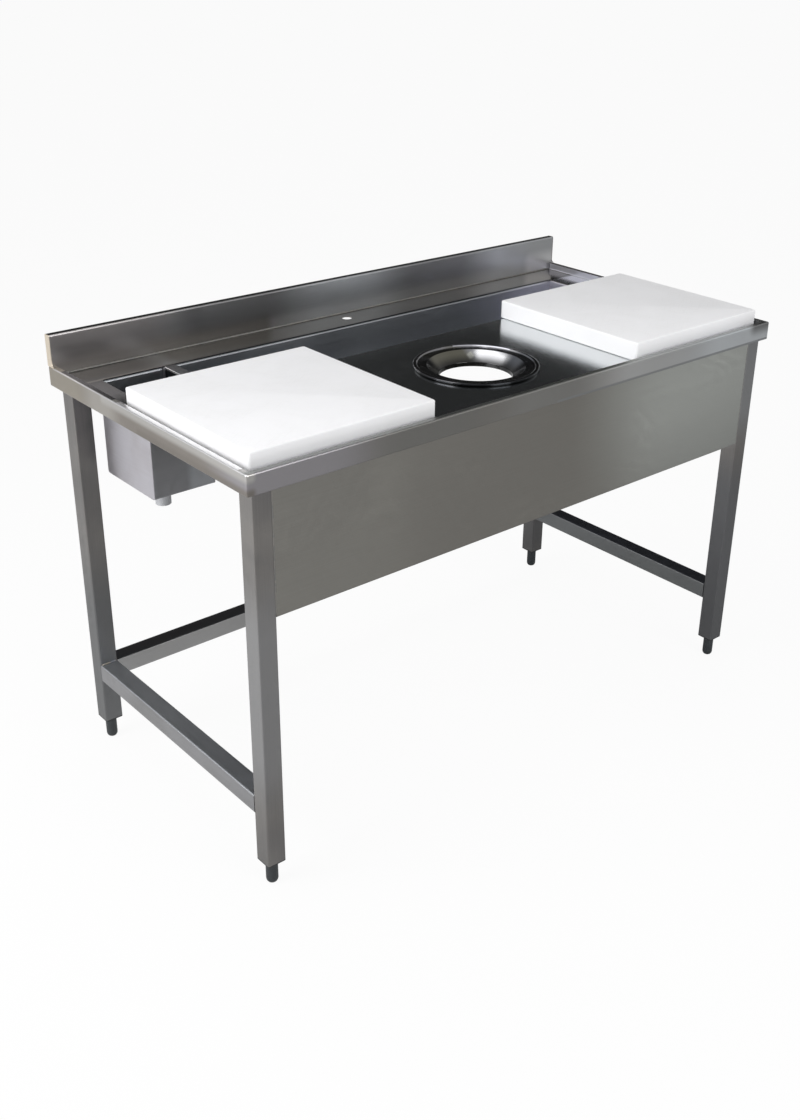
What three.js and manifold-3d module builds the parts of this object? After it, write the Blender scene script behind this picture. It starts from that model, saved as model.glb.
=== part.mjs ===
// Fish cleaning table: a stainless steel worktop with a raised rim, a rear upstand, a sunken
// trough with a deeper sump, a round waste chute and two loose cutting boards, carried by a welded
// frame of square tube on adjustable feet, with a deep apron between the front legs.
//
// Millimetres. X runs along the table, Y from front to back and Z up from the floor. The
// origin is on the floor under the middle of the table.

import * as THREE from 'three';
import { mergeVertices } from 'three/addons/utils/BufferGeometryUtils.js';
import Module from 'manifold-3d';

const wasm = await Module();
wasm.setup();

// Worktop
const TABLE_LENGTH = 1400;
const TABLE_DEPTH = 700;
const RIM_HEIGHT = 866; // floor to the top of the raised rim
const RIM_STEP = 16; // rim above the deck
const RIM_WIDTH = 12;
const FASCIA_HEIGHT = 40;
const REAR_FLANGE = 12; // fold-down at the back edge of the deck
const SHEET = 1.5; // worktop, upstand and trough
const FASCIA_CORNER = 4; // radius of the upright corners
const FASCIA_FOLD = 2.5; // outside radius of the folds along the rim
const DECK_COVE = 3; // radius where the rim runs down into the deck
const DECK_CORNER = 8; // radius in the corners of the tray
const OPENING_CORNER = 6; // radius in the corners of the trough opening
const TAP_HOLE_DIAMETER = 22;
const TAP_HOLE_SETBACK = 36; // hole centre in front of the upstand

// Upstand
const UPSTAND_RISE = 66; // above the rim
const UPSTAND_THICKNESS = 18;
const UPSTAND_RETURN = 15; // fold-down behind the top
const UPSTAND_FOOT = 10; // weld flange on the deck
const UPSTAND_FILLET = 8; // fillet in front of each end cap
const BEND_RADIUS = 1.5; // inside radius of a tight fold

// Trough along the back of the worktop
const LEDGE_DEPTH = 80; // trough opening to upstand
const TROUGH_WIDTH = 178; // opening, front to back
const TROUGH_RIGHT_LEDGE = 76; // opening to the inside of the rim
const TROUGH_DEPTH = 82; // deck to the underside of the trough
const SUMP_DEPTH = 195; // deck to the underside of the sump
const TROUGH_FLANGE = 8; // weld flange under the deck
const TROUGH_LIP = 1; // deck edge standing in past the trough wall
const TROUGH_COVE = 4; // inside radius of the trough folds
const TROUGH_CLEARANCE = 1.5; // left flange to the side channel

// Loose strainer plate that parts the sump from the trough
const SUMP_LENGTH = 137; // left edge of the opening to the plate
const SUMP_SETBACK = 3; // end of the sump to the plate
const STRAINER_SHEET = 2;
const STRAINER_FLANGE = 25;
const STRAINER_FLOOR_GAP = 3;
const STRAINER_HOLE = 6;
const STRAINER_PITCH = 14;
const STRAINER_MARGIN = 12; // edge of the plate to the middle of the first hole, at least
const GUIDE_SHEET = 1.2;
const GUIDE_PLAY = 0.7; // each side of the plate
const GUIDE_GRIP = 6; // depth of plate held in each guide
const GUIDE_CLEARANCE = 1; // plate behind the back edge of the board
const STRAINER_END_GAP = 3; // plate to the rear edge of the opening

// Waste fitting in the floor of the sump
const WASTE_FLANGE_DIAMETER = 76;
const WASTE_FLANGE_THICKNESS = 1.6;
const WASTE_SPIGOT_DIAMETER = 46;
const WASTE_WALL = 2;
const WASTE_SPIGOT_DROP = 24; // below the underside of the sump
const WASTE_DISH_DEPTH = 6;
const WASTE_HOLE = 7;
const WASTE_HOLE_COUNT = 8;
const WASTE_RING_SHARE = 0.62; // hole circle as a share of the dish radius
const WASTE_SCREW_DIAMETER = 6;
const WASTE_SCREW_HEAD = 12;
const WASTE_SCREW_HEAD_HEIGHT = 2.5;
const WASTE_SCREW_LENGTH = 22;
const WASHER_THICKNESS = 3;
const WASHER_BAND = 12; // washer beyond the spigot
const NUT_HEIGHT = 9;
const NUT_BAND = 9; // nut beyond the spigot
const NUT_LUG = 3.5;
const NUT_LUG_COUNT = 8;
const TAIL_DROP = 56; // end of the tailpiece below the sump
const TAIL_DIAMETER = 32;
const TAIL_WALL = 2.4;
const TAIL_COLLAR_HEIGHT = 12;
const TAIL_TAPER_HEIGHT = 10;

// Waste chute
const CHUTE_SETBACK = 214; // chute centre behind the front edge
const CHUTE_DIAMETER = 259; // over the bead
const CHUTE_CONE_DIAMETER = 203;
const CHUTE_THROAT_DIAMETER = 152;
const CHUTE_SHEET = 1.2;
const CHUTE_BEAD_WIDTH = 7;
const CHUTE_BEAD_HEIGHT = 6;
const CHUTE_BEAD_SLOPE = 2.5;
const CHUTE_CONE_DROP = 17; // deck to the foot of the cone
const CHUTE_COLLAR = 9;
const CHUTE_HOLE_CLEARANCE = 3;
const GASKET_THICKNESS = 1.2;
const GASKET_INSET = 4;

// Frame
const TUBE = 40;
const TUBE_WALL = 1.5;
const TUBE_CORNER = 3;
const LEG_INSET_SIDE = 15.5;
const LEG_INSET_FRONT = 11;
const LEG_INSET_REAR = 18.5;
const LIP_CLEARANCE = 0.9; // leg face to the lip under the fascia
const RAIL_HEIGHT = 157.5; // floor to the underside of the lower rails
const CHANNEL_HEIGHT = 22;
const CHANNEL_WIDTH = 30;
const CHANNEL_FLANGE = 7;
const CHANNEL_SHEET = 2;

// Apron
const APRON_HEIGHT = 245.5;
const APRON_SHEET = 1.2;
const APRON_TOP_FLANGE = 20;
const APRON_EDGE_FLANGE = 12;

// Feet
const FOOT_HEIGHT = 51; // floor to the underside of the leg plug
const FOOT_DIAMETER = 24;
const FOOT_TIP_DIAMETER = 12;
const FOOT_NOSE = 10; // height of the rounded nose
const FOOT_TRAVEL = 30; // screwed in to fully out
const STEM_DIAMETER = 10;
const STEM_GRIP = 24; // stem length held in the foot
const STEM_CHAMFER = 1;
const PLUG_RIM = 2.5;
const PLUG_DEPTH = 25;
const PLUG_FIT = 0.3;
const PLUG_FIN = 1.6;
const PLUG_FIN_COUNT = 3;
const PLUG_CORE = 28;

// Cutting boards
const BOARD_LENGTH = 405;
const BOARD_THICKNESS = 40;
const BOARD_SIDE_GAP = 8;
const BOARD_SHIFT = 4; // both boards lie this far to the right
const BOARD_FRONT_GAP = 16;
const BOARD_OVERHANG = 11; // past the front edge of the trough opening
const BOARD_CORNER = 5; // radius of the upright corners
const BOARD_EDGE = 2.5; // radius along the top and bottom edges

// Shared
const SEAM = 0.3; // left open at each weld and seat
const OVERRUN = 12; // tools run past what they cut
const ROUND_SIDES = 44;
const SMALL_ROUND_SIDES = 24;
const HOLE_SIDES = 8;
const CORNER_STEPS = 2;
const MOULDED_CORNER_STEPS = 1;
const BEND_STEPS = 2;

// Places worked out from the sizes above
const halfLength = TABLE_LENGTH / 2;
const front = -TABLE_DEPTH / 2;
const back = TABLE_DEPTH / 2;
const deckTop = RIM_HEIGHT - RIM_STEP;
const deckUnder = deckTop - SHEET;
const fasciaBottom = RIM_HEIGHT - FASCIA_HEIGHT;
const rimInside = halfLength - RIM_WIDTH;
const rimInsideFront = front + RIM_WIDTH;
const fasciaLip = Math.min(LEG_INSET_SIDE, LEG_INSET_FRONT) - LIP_CLEARANCE;
const upstandFront = back - UPSTAND_THICKNESS;
const upstandTop = RIM_HEIGHT + UPSTAND_RISE;

const legX = halfLength - LEG_INSET_SIDE - TUBE / 2;
const legFrontY = front + LEG_INSET_FRONT + TUBE / 2;
const legRearY = back - LEG_INSET_REAR - TUBE / 2;
const channelTop = deckUnder - SEAM;
const channelBottom = channelTop - CHANNEL_HEIGHT;

const openingRear = upstandFront - LEDGE_DEPTH;
const openingFront = openingRear - TROUGH_WIDTH;
const openingRight = rimInside - TROUGH_RIGHT_LEDGE;
const troughReach = TROUGH_LIP + SHEET; // opening edge to the outside of the trough
const openingLeft = -(legX - CHANNEL_WIDTH / 2)
  + TROUGH_CLEARANCE + TROUGH_FLANGE + troughReach;
const troughFront = openingFront - troughReach;
const troughRear = openingRear + troughReach;
const troughLeft = openingLeft - troughReach;
const troughRight = openingRight + troughReach;
const troughBottom = deckTop - TROUGH_DEPTH;
const troughFloor = troughBottom + SHEET;
const sumpBottom = deckTop - SUMP_DEPTH;
const sumpFloor = sumpBottom + SHEET;

const boardRear = openingFront + BOARD_OVERHANG;
const boardCentreX = rimInside - BOARD_SIDE_GAP - BOARD_LENGTH / 2;

const strainerLeft = openingLeft + SUMP_LENGTH;
const strainerFront = boardRear + GUIDE_CLEARANCE;
const strainerRear = openingRear - STRAINER_END_GAP;
const sumpRight = strainerLeft - SUMP_SETBACK;
const drainX = (troughLeft + sumpRight) / 2;
const drainY = (troughFront + troughRear) / 2;
const chuteY = front + CHUTE_SETBACK;

// Finishes
function finish(color, roughness, metalness) {
  return new THREE.MeshStandardMaterial({ color, roughness, metalness, flatShading: true });
}

const polishedSteel = finish(0x8d8f92, 0.18, 0.95);
const brushedSteel = finish(0x8f8d88, 0.42, 0.9);
const spunSteel = finish(0xa4a6aa, 0.15, 1);
const boltSteel = finish(0x9a9b9d, 0.35, 1);
const boardPlastic = finish(0xf2f3f5, 0.55, 0);
const footPlastic = finish(0x3a4147, 0.5, 0);
const plugPlastic = finish(0x1c1d1f, 0.6, 0);
const sealRubber = finish(0x141414, 0.85, 0);
const pipePlastic = finish(0xc9ccce, 0.45, 0);

// Booleans: each geometry becomes a solid with shared corners, and comes back as a geometry
function solidOf(geometry) {
  const bare = geometry.clone();
  bare.deleteAttribute('normal');
  bare.deleteAttribute('uv');
  const merged = mergeVertices(bare);
  const corners = merged.index.array;
  const kept = [];
  for (let i = 0; i < corners.length; i += 3) {
    const [a, b, c] = corners.slice(i, i + 3);
    if (a !== b && b !== c && c !== a) kept.push(a, b, c);
  }
  return new wasm.Manifold(new wasm.Mesh({
    numProp: 3,
    vertProperties: merged.attributes.position.array,
    triVerts: new Uint32Array(kept),
  }));
}

function geometryOf(solid) {
  const mesh = solid.getMesh();
  const geometry = new THREE.BufferGeometry();
  geometry.setAttribute('position', new THREE.BufferAttribute(mesh.vertProperties, 3));
  geometry.setIndex(new THREE.BufferAttribute(mesh.triVerts, 1));
  geometry.computeVertexNormals();
  return geometry;
}

function joined(solids) {
  return solids.reduce((whole, piece) => whole.add(piece));
}

function without(solid, tools) {
  return tools.reduce((whole, tool) => whole.subtract(tool), solid);
}

function ordered(a, b) {
  return [Math.min(a, b), Math.max(a, b)];
}

// Outlines
function roundedRectangle([left, right], [low, high], radius) {
  const quarter = Math.PI / 2;
  const shape = new THREE.Shape();
  shape.absarc(right - radius, low + radius, radius, -quarter, 0);
  shape.absarc(right - radius, high - radius, radius, 0, quarter);
  shape.absarc(left + radius, high - radius, radius, quarter, 2 * quarter);
  shape.absarc(left + radius, low + radius, radius, 2 * quarter, 3 * quarter);
  return shape;
}

function circlePoints(radius, sides) {
  return Array.from({ length: sides }, (_, i) => {
    const angle = (2 * Math.PI * i) / sides;
    return new THREE.Vector2(radius * Math.cos(angle), radius * Math.sin(angle));
  });
}

// Evenly pitched places, centred between two edges and clear of both by the margin
function pitches([from, to], margin, pitch) {
  const steps = Math.floor((to - from - 2 * margin) / pitch);
  const first = (from + to - steps * pitch) / 2;
  return Array.from({ length: steps + 1 }, (_, i) => first + i * pitch);
}

// The section of folded sheet: the corners lie on one face of the sheet, which has its
// thickness to the left of the way they run, and every fold gets its inside radius
function foldedSheet(corners, thickness, insideRadius) {
  const points = corners.map(([across, up]) => new THREE.Vector2(across, up));
  const last = points.length - 1;
  const direction = (from, to) => points[to].clone().sub(points[from]).normalize();
  const leftOf = (way) => new THREE.Vector2(-way.y, way.x);
  const near = [];
  const far = [];
  points.forEach((corner, i) => {
    if (i === 0 || i === last) {
      const way = i === 0 ? direction(0, 1) : direction(last - 1, last);
      near.push(corner.clone());
      far.push(corner.clone().addScaledVector(leftOf(way), thickness));
      return;
    }
    const way = direction(i - 1, i);
    const next = direction(i, i + 1);
    const turn = Math.atan2(way.cross(next), way.dot(next));
    const side = Math.sign(turn);
    const nearRadius = side > 0 ? insideRadius + thickness : insideRadius;
    const farRadius = side > 0 ? insideRadius : insideRadius + thickness;
    const centre = corner.clone()
      .addScaledVector(way, -nearRadius * Math.tan(Math.abs(turn) / 2))
      .addScaledVector(leftOf(way), side * nearRadius);
    for (let step = 0; step <= BEND_STEPS; step += 1) {
      const spoke = leftOf(way).multiplyScalar(-side)
        .rotateAround(new THREE.Vector2(), (turn * step) / BEND_STEPS);
      near.push(centre.clone().addScaledVector(spoke, nearRadius));
      far.push(centre.clone().addScaledVector(spoke, farRadius));
    }
  });
  return [...near, ...far.reverse()];
}

// Solids from outlines
function extruded(shape, depth, cornerSteps = CORNER_STEPS) {
  return new THREE.ExtrudeGeometry(shape, {
    depth, bevelEnabled: false, curveSegments: cornerSteps,
  });
}

// An outline in (Y, Z) drawn out along X
function alongX(shape, [from, to]) {
  const geometry = extruded(shape, to - from);
  geometry.applyMatrix4(new THREE.Matrix4().makeBasis(
    new THREE.Vector3(0, 1, 0), new THREE.Vector3(0, 0, 1), new THREE.Vector3(1, 0, 0),
  ));
  return solidOf(geometry.translate(from, 0, 0));
}

// An outline in (X, Z) drawn out along Y
function alongY(shape, [from, to]) {
  const geometry = extruded(shape, to - from);
  geometry.rotateX(Math.PI / 2);
  return solidOf(geometry.translate(0, to, 0));
}

// An outline in (X, Y) drawn out along Z
function alongZ(shape, [from, to], cornerSteps) {
  return solidOf(extruded(shape, to - from, cornerSteps).translate(0, 0, from));
}

function box([left, right], [near, far], [low, high]) {
  const geometry = new THREE.BoxGeometry(right - left, far - near, high - low);
  geometry.translate((left + right) / 2, (near + far) / 2, (low + high) / 2);
  return solidOf(geometry);
}

// A slab with round upright corners and, where an edge radius is given, round rims
function slab(across, deep, [low, high], cornerRadius, edgeRadius = 0) {
  const outline = roundedRectangle(across, deep, cornerRadius);
  if (edgeRadius === 0) return alongZ(outline, [low, high]);
  const geometry = new THREE.ExtrudeGeometry(outline, {
    depth: high - low - 2 * edgeRadius,
    bevelThickness: edgeRadius,
    bevelSize: edgeRadius,
    bevelOffset: -edgeRadius,
    bevelSegments: CORNER_STEPS,
    curveSegments: CORNER_STEPS,
  });
  return solidOf(geometry.translate(0, 0, low + edgeRadius));
}

// A turned piece: its section in (radius, Z) runs anticlockwise and closes on itself
function turned(section, sides = ROUND_SIDES) {
  const points = section.map((point) => (
    point.isVector2 ? point : new THREE.Vector2(...point)));
  const geometry = new THREE.LatheGeometry([...points, points[0].clone()], sides);
  return solidOf(geometry.rotateX(Math.PI / 2));
}

function ring(inner, outer, [low, high], sides = ROUND_SIDES) {
  return turned([[inner, low], [outer, low], [outer, high], [inner, high]], sides);
}

function disc(radius, [low, high], sides = ROUND_SIDES) {
  const geometry = new THREE.CylinderGeometry(radius, radius, high - low, sides);
  geometry.rotateX(Math.PI / 2);
  return solidOf(geometry.translate(0, 0, (low + high) / 2));
}

function squareTube(outer, wall, corner) {
  const half = outer / 2;
  const inner = half - wall;
  const shape = roundedRectangle([-half, half], [-half, half], corner);
  shape.holes.push(roundedRectangle([-inner, inner], [-inner, inner], corner - wall));
  return shape;
}

// Worktop: one folded sheet with fascia, hollow rim, tray and cut-outs
function buildWorktop() {
  const outside = slab(
    [-halfLength, halfLength], [front, back], [fasciaBottom, RIM_HEIGHT],
    FASCIA_CORNER, FASCIA_FOLD,
  );
  const behind = back + OVERRUN;
  const above = RIM_HEIGHT + OVERRUN;
  const below = fasciaBottom - OVERRUN;
  const wallX = halfLength - SHEET;
  const lipX = halfLength - fasciaLip;
  const insideCorner = FASCIA_CORNER - SHEET;
  const tray = slab(
    [-rimInside, rimInside], [rimInsideFront, behind], [deckTop, above], DECK_CORNER, DECK_COVE,
  );
  const upstandSeat = box([-wallX, wallX], [upstandFront, behind], [deckTop, above]);
  const underside = slab(
    [-wallX, wallX], [front + SHEET, back - SHEET], [fasciaBottom + SHEET, deckUnder],
    insideCorner,
  );
  const lipOpening = box(
    [-lipX, lipX], [front + fasciaLip, back - SHEET], [below, fasciaBottom + 2 * SHEET],
  );
  const openBack = box(
    [-wallX, wallX], [back - 2 * SHEET, behind], [below, deckTop - REAR_FLANGE],
  );
  const rimHollow = slab(
    [-wallX, wallX], [front + SHEET, upstandFront - SHEET],
    [deckUnder - SHEET, RIM_HEIGHT - SHEET], insideCorner,
  ).subtract(slab(
    [-rimInside - SHEET, rimInside + SHEET], [rimInsideFront - SHEET, upstandFront],
    [deckUnder - 2 * SHEET, RIM_HEIGHT], DECK_CORNER + SHEET,
  ));
  const through = [deckUnder - OVERRUN, deckTop + OVERRUN];
  const troughOpening = slab(
    [openingLeft, openingRight], [openingFront, openingRear], through, OPENING_CORNER,
  );
  const chuteHole = disc(CHUTE_CONE_DIAMETER / 2 + CHUTE_HOLE_CLEARANCE, through)
    .translate([0, chuteY, 0]);
  const tapHole = disc(TAP_HOLE_DIAMETER / 2, through, SMALL_ROUND_SIDES)
    .translate([0, upstandFront - TAP_HOLE_SETBACK, 0]);
  return without(outside, [
    tray, upstandSeat, underside, lipOpening, openBack, rimHollow,
    troughOpening, chuteHole, tapHole,
  ]);
}

// Upstand: a folded cover that stands on the back of the deck
function buildUpstand() {
  const seat = deckTop + SEAM;
  const section = foldedSheet([
    [back, upstandTop - UPSTAND_RETURN],
    [back, upstandTop],
    [upstandFront + SEAM, upstandTop],
    [upstandFront + SEAM, seat],
    [upstandFront + SEAM + UPSTAND_FOOT, seat],
  ], SHEET, BEND_RADIUS);
  const reach = halfLength - SHEET - SEAM;
  return alongX(new THREE.Shape(section), [-reach, reach]);
}

// End cap: closes the upstand above the side fascia, with a small fillet to the rim
function buildUpstandEnd(side) {
  const quarter = Math.PI / 2;
  const seat = RIM_HEIGHT + SEAM;
  const round = BEND_RADIUS + SHEET;
  const outline = new THREE.Shape();
  outline.absarc(back - round, upstandTop - round, round, 0, quarter);
  outline.absarc(upstandFront + round, upstandTop - round, round, quarter, 2 * quarter);
  outline.absarc(
    upstandFront - UPSTAND_FILLET, seat + UPSTAND_FILLET, UPSTAND_FILLET, 0, -quarter, true,
  );
  outline.lineTo(back, seat);
  return alongX(outline, ordered(side * halfLength, side * (halfLength - SHEET)));
}

// Trough and sump: two folded channels, one deeper than the other, closed by flanged plates
function channelSection(bottom) {
  const flange = deckUnder - SEAM - SHEET;
  return new THREE.Shape(foldedSheet([
    [troughFront - TROUGH_FLANGE, flange],
    [troughFront, flange],
    [troughFront, bottom],
    [troughRear, bottom],
    [troughRear, flange],
    [troughRear + TROUGH_FLANGE, flange],
  ], SHEET, TROUGH_COVE));
}

function buildTroughChannel() {
  return alongX(channelSection(troughBottom), [sumpRight - SHEET, troughRight - SHEET - SEAM]);
}

function buildSumpBody() {
  const ends = [troughLeft + SHEET + SEAM, sumpRight - SHEET - SEAM];
  const hole = disc(WASTE_SPIGOT_DIAMETER / 2 + SEAM, [-OVERRUN, OVERRUN], SMALL_ROUND_SIDES)
    .translate([drainX, drainY, sumpBottom]);
  return alongX(channelSection(sumpBottom), ends).subtract(hole);
}

// Plate across the end of a channel, with its top folded out under what it carries
function closingPlate(side, face, bottom, top) {
  const corners = [
    [face, bottom], [face, top - SHEET], [face + side * TROUGH_FLANGE, top - SHEET],
  ];
  if (side < 0) corners.reverse();
  const plate = foldedSheet(corners, SHEET, BEND_RADIUS);
  const round = TROUGH_COVE + SHEET;
  const outline = roundedRectangle([troughFront, troughRear], [bottom, top + OVERRUN], round);
  const reach = TROUGH_FLANGE + OVERRUN;
  return alongY(new THREE.Shape(plate), [troughFront, troughRear])
    .intersect(alongX(outline, [face - reach, face + reach]));
}

function buildTroughEnd(side) {
  const top = deckUnder - SEAM;
  return side < 0
    ? closingPlate(side, troughLeft, sumpBottom, top)
    : closingPlate(side, troughRight, troughBottom, top);
}

function buildSumpWall() {
  return closingPlate(1, sumpRight, sumpBottom, troughBottom - SEAM);
}

// Strainer plate: perforated, with a folded top flange that hangs on its two guides
function buildStrainerPlate() {
  const bottom = troughFloor + STRAINER_FLOOR_GAP;
  const section = foldedSheet([
    [strainerLeft + STRAINER_FLANGE, deckTop],
    [strainerLeft, deckTop],
    [strainerLeft, bottom],
  ], STRAINER_SHEET, BEND_RADIUS);
  const plate = alongY(new THREE.Shape(section), [strainerFront, strainerRear]);
  const tools = [];
  pitches([strainerFront, strainerRear], STRAINER_MARGIN, STRAINER_PITCH).forEach((y) => {
    pitches([bottom, deckTop], STRAINER_MARGIN, STRAINER_PITCH).forEach((z) => {
      const tool = new THREE.CylinderGeometry(
        STRAINER_HOLE / 2, STRAINER_HOLE / 2, OVERRUN, HOLE_SIDES,
      );
      tool.rotateZ(Math.PI / 2);
      tools.push(solidOf(tool.translate(strainerLeft, y, z)));
    });
  });
  return plate.subtract(joined(tools));
}

function buildStrainerGuide(side) {
  const wall = side < 0 ? troughFront + SHEET + SEAM : troughRear - SHEET - SEAM;
  const plateEdge = side < 0 ? strainerFront : strainerRear;
  const mouth = plateEdge - side * GUIDE_GRIP;
  const middle = strainerLeft + STRAINER_SHEET / 2;
  const half = STRAINER_SHEET / 2 + GUIDE_PLAY + GUIDE_SHEET;
  const corners = [
    [middle - half, mouth], [middle - half, wall], [middle + half, wall], [middle + half, mouth],
  ];
  if (side > 0) corners.reverse();
  const section = foldedSheet(corners, GUIDE_SHEET, GUIDE_PLAY);
  return alongZ(new THREE.Shape(section), [
    troughFloor + TROUGH_COVE, deckTop - STRAINER_SHEET - SEAM,
  ]);
}

// Waste fitting: dished strainer with a threaded spigot, screw, washer, nut and tailpiece
const spigot = WASTE_SPIGOT_DIAMETER / 2;
const wasteSeat = sumpFloor + SEAM;
const dishFloor = wasteSeat + WASTE_FLANGE_THICKNESS - WASTE_DISH_DEPTH;
const nutTop = sumpBottom - WASHER_THICKNESS - 2 * SEAM;
const tailTop = nutTop - NUT_HEIGHT - SEAM;

function buildWasteStrainer() {
  const flange = WASTE_FLANGE_DIAMETER / 2;
  const lip = wasteSeat + WASTE_FLANGE_THICKNESS;
  const bore = spigot - WASTE_WALL;
  const end = sumpBottom - WASTE_SPIGOT_DROP;
  const body = turned([
    [bore, end], [spigot, end], [spigot, wasteSeat],
    [flange, wasteSeat], [flange - WASTE_FLANGE_THICKNESS, lip], [spigot, lip],
    [bore, dishFloor + WASTE_WALL],
  ]);
  const grid = disc(bore + WASTE_WALL / 2, [dishFloor, dishFloor + WASTE_WALL]);
  const circle = bore * WASTE_RING_SHARE;
  const tools = circlePoints(circle, WASTE_HOLE_COUNT).map((point) => (
    disc(WASTE_HOLE / 2, [dishFloor - OVERRUN, dishFloor + OVERRUN], HOLE_SIDES)
      .translate([point.x, point.y, 0])));
  tools.push(disc(
    WASTE_SCREW_DIAMETER / 2 + SEAM, [dishFloor - OVERRUN, dishFloor + OVERRUN],
    SMALL_ROUND_SIDES,
  ));
  return without(joined([body, grid]), tools);
}

function buildWasteScrew() {
  const seat = dishFloor + WASTE_WALL + SEAM;
  const shank = WASTE_SCREW_DIAMETER / 2;
  const head = WASTE_SCREW_HEAD / 2;
  return turned([
    [0, seat - WASTE_SCREW_LENGTH],
    [shank, seat - WASTE_SCREW_LENGTH],
    [shank, seat],
    [head, seat],
    [head, seat + WASTE_SCREW_HEAD_HEIGHT / 2],
    [shank, seat + WASTE_SCREW_HEAD_HEIGHT],
    [0, seat + WASTE_SCREW_HEAD_HEIGHT],
  ], SMALL_ROUND_SIDES);
}

function buildWasteWasher() {
  const top = sumpBottom - SEAM;
  return ring(spigot + SEAM, spigot + WASHER_BAND, [top - WASHER_THICKNESS, top]);
}

function buildWasteNut() {
  const height = [nutTop - NUT_HEIGHT, nutTop];
  const outer = spigot + NUT_BAND;
  const lugs = circlePoints(outer, NUT_LUG_COUNT).map((point) => (
    box([-NUT_LUG, NUT_LUG], [-NUT_LUG, NUT_LUG], height)
      .rotate([0, 0, THREE.MathUtils.radToDeg(point.angle())])
      .translate([point.x, point.y, 0])));
  const blank = joined([disc(outer, height, SMALL_ROUND_SIDES), ...lugs]);
  const bore = disc(spigot + SEAM, [nutTop - NUT_HEIGHT - OVERRUN, nutTop + OVERRUN]);
  return blank.subtract(bore);
}

function buildWasteTailpiece() {
  const end = sumpBottom - TAIL_DROP;
  const pipe = TAIL_DIAMETER / 2;
  const bore = pipe - TAIL_WALL;
  const collarBore = spigot + SEAM;
  const collar = collarBore + TAIL_WALL;
  const collarEnd = tailTop - TAIL_COLLAR_HEIGHT;
  const taperEnd = collarEnd - TAIL_TAPER_HEIGHT;
  return turned([
    [bore, end], [pipe, end], [pipe, taperEnd], [collar, collarEnd], [collar, tailTop],
    [collarBore, tailTop], [collarBore, collarEnd], [bore, taperEnd],
  ], SMALL_ROUND_SIDES);
}

// Waste chute: a spun ring with a rolled bead, a flat seat, a cone and a short collar
const chuteSeat = deckTop + GASKET_THICKNESS + 2 * SEAM;
const beadInside = CHUTE_DIAMETER / 2 - CHUTE_BEAD_WIDTH - CHUTE_BEAD_SLOPE;

function buildChuteRing() {
  const bead = CHUTE_DIAMETER / 2;
  const beadTop = deckTop + CHUTE_BEAD_HEIGHT;
  const seatTop = chuteSeat + CHUTE_SHEET;
  const throat = CHUTE_THROAT_DIAMETER / 2;
  const coneFoot = deckTop - CHUTE_CONE_DROP;
  return turned(foldedSheet([
    [bead, deckTop + SEAM],
    [bead, beadTop],
    [bead - CHUTE_BEAD_WIDTH, beadTop],
    [beadInside, seatTop],
    [CHUTE_CONE_DIAMETER / 2, seatTop],
    [throat, coneFoot],
    [throat, coneFoot - CHUTE_COLLAR],
  ], CHUTE_SHEET, BEND_RADIUS));
}

function buildChuteGasket() {
  const low = deckTop + SEAM;
  const inner = CHUTE_CONE_DIAMETER / 2 + CHUTE_HOLE_CLEARANCE;
  return ring(inner, beadInside - GASKET_INSET, [low, low + GASKET_THICKNESS]);
}

// Top-hat channel, with its flanges up against the underside of the deck
function hatSection(middle) {
  const half = CHANNEL_WIDTH / 2;
  const web = half - CHANNEL_FLANGE;
  const flange = channelTop - CHANNEL_SHEET;
  return new THREE.Shape(foldedSheet([
    [middle - half, flange],
    [middle - web, flange],
    [middle - web, channelBottom],
    [middle + web, channelBottom],
    [middle + web, flange],
    [middle + half, flange],
  ], CHANNEL_SHEET, BEND_RADIUS));
}

function buildSideChannel(side) {
  const ends = [legFrontY + TUBE / 2 + SEAM, legRearY - TUBE / 2 - SEAM];
  return alongY(hatSection(side * legX), ends);
}

function buildFrontChannel() {
  const reach = legX - TUBE / 2 - SEAM;
  return alongX(hatSection(legFrontY), [-reach, reach]);
}

function buildCrossChannel(side) {
  const ends = [legFrontY + TUBE / 2 + SEAM, troughFront - TROUGH_FLANGE - SEAM];
  return alongY(hatSection(side * boardCentreX), ends);
}

function buildSideRail(side) {
  const ends = [legFrontY + TUBE / 2 + SEAM, legRearY - TUBE / 2 - SEAM];
  return alongY(squareTube(TUBE, TUBE_WALL, TUBE_CORNER), ends)
    .translate([side * legX, 0, RAIL_HEIGHT + TUBE / 2]);
}

function buildRearRail() {
  const reach = legX - TUBE / 2 - SEAM;
  return alongX(squareTube(TUBE, TUBE_WALL, TUBE_CORNER), [-reach, reach])
    .translate([0, legRearY, RAIL_HEIGHT + TUBE / 2]);
}

// Apron: a folded panel between the front legs, flanged on all four edges
function buildApron() {
  const face = front + LEG_INSET_FRONT;
  const top = channelBottom - SEAM;
  const bottom = top - APRON_HEIGHT;
  const reach = legX - TUBE / 2 - SEAM;
  const panel = alongX(new THREE.Shape(foldedSheet([
    [face + APRON_TOP_FLANGE, top],
    [face, top],
    [face, bottom],
    [face + APRON_EDGE_FLANGE, bottom],
  ], APRON_SHEET, BEND_RADIUS)), [-reach, reach]);
  const ends = [-1, 1].map((side) => box(
    ordered(side * reach, side * (reach - APRON_SHEET)),
    [face + APRON_SHEET / 2, face + APRON_EDGE_FLANGE],
    [bottom + BEND_RADIUS + APRON_SHEET, top - BEND_RADIUS - APRON_SHEET],
  ));
  return joined([panel, ...ends]);
}

// Leg with its plug and adjustable foot, on the leg's own centre line
function buildLeg() {
  return alongZ(squareTube(TUBE, TUBE_WALL, TUBE_CORNER), [
    FOOT_HEIGHT + PLUG_RIM + SEAM, deckUnder - SEAM,
  ]);
}

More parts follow.
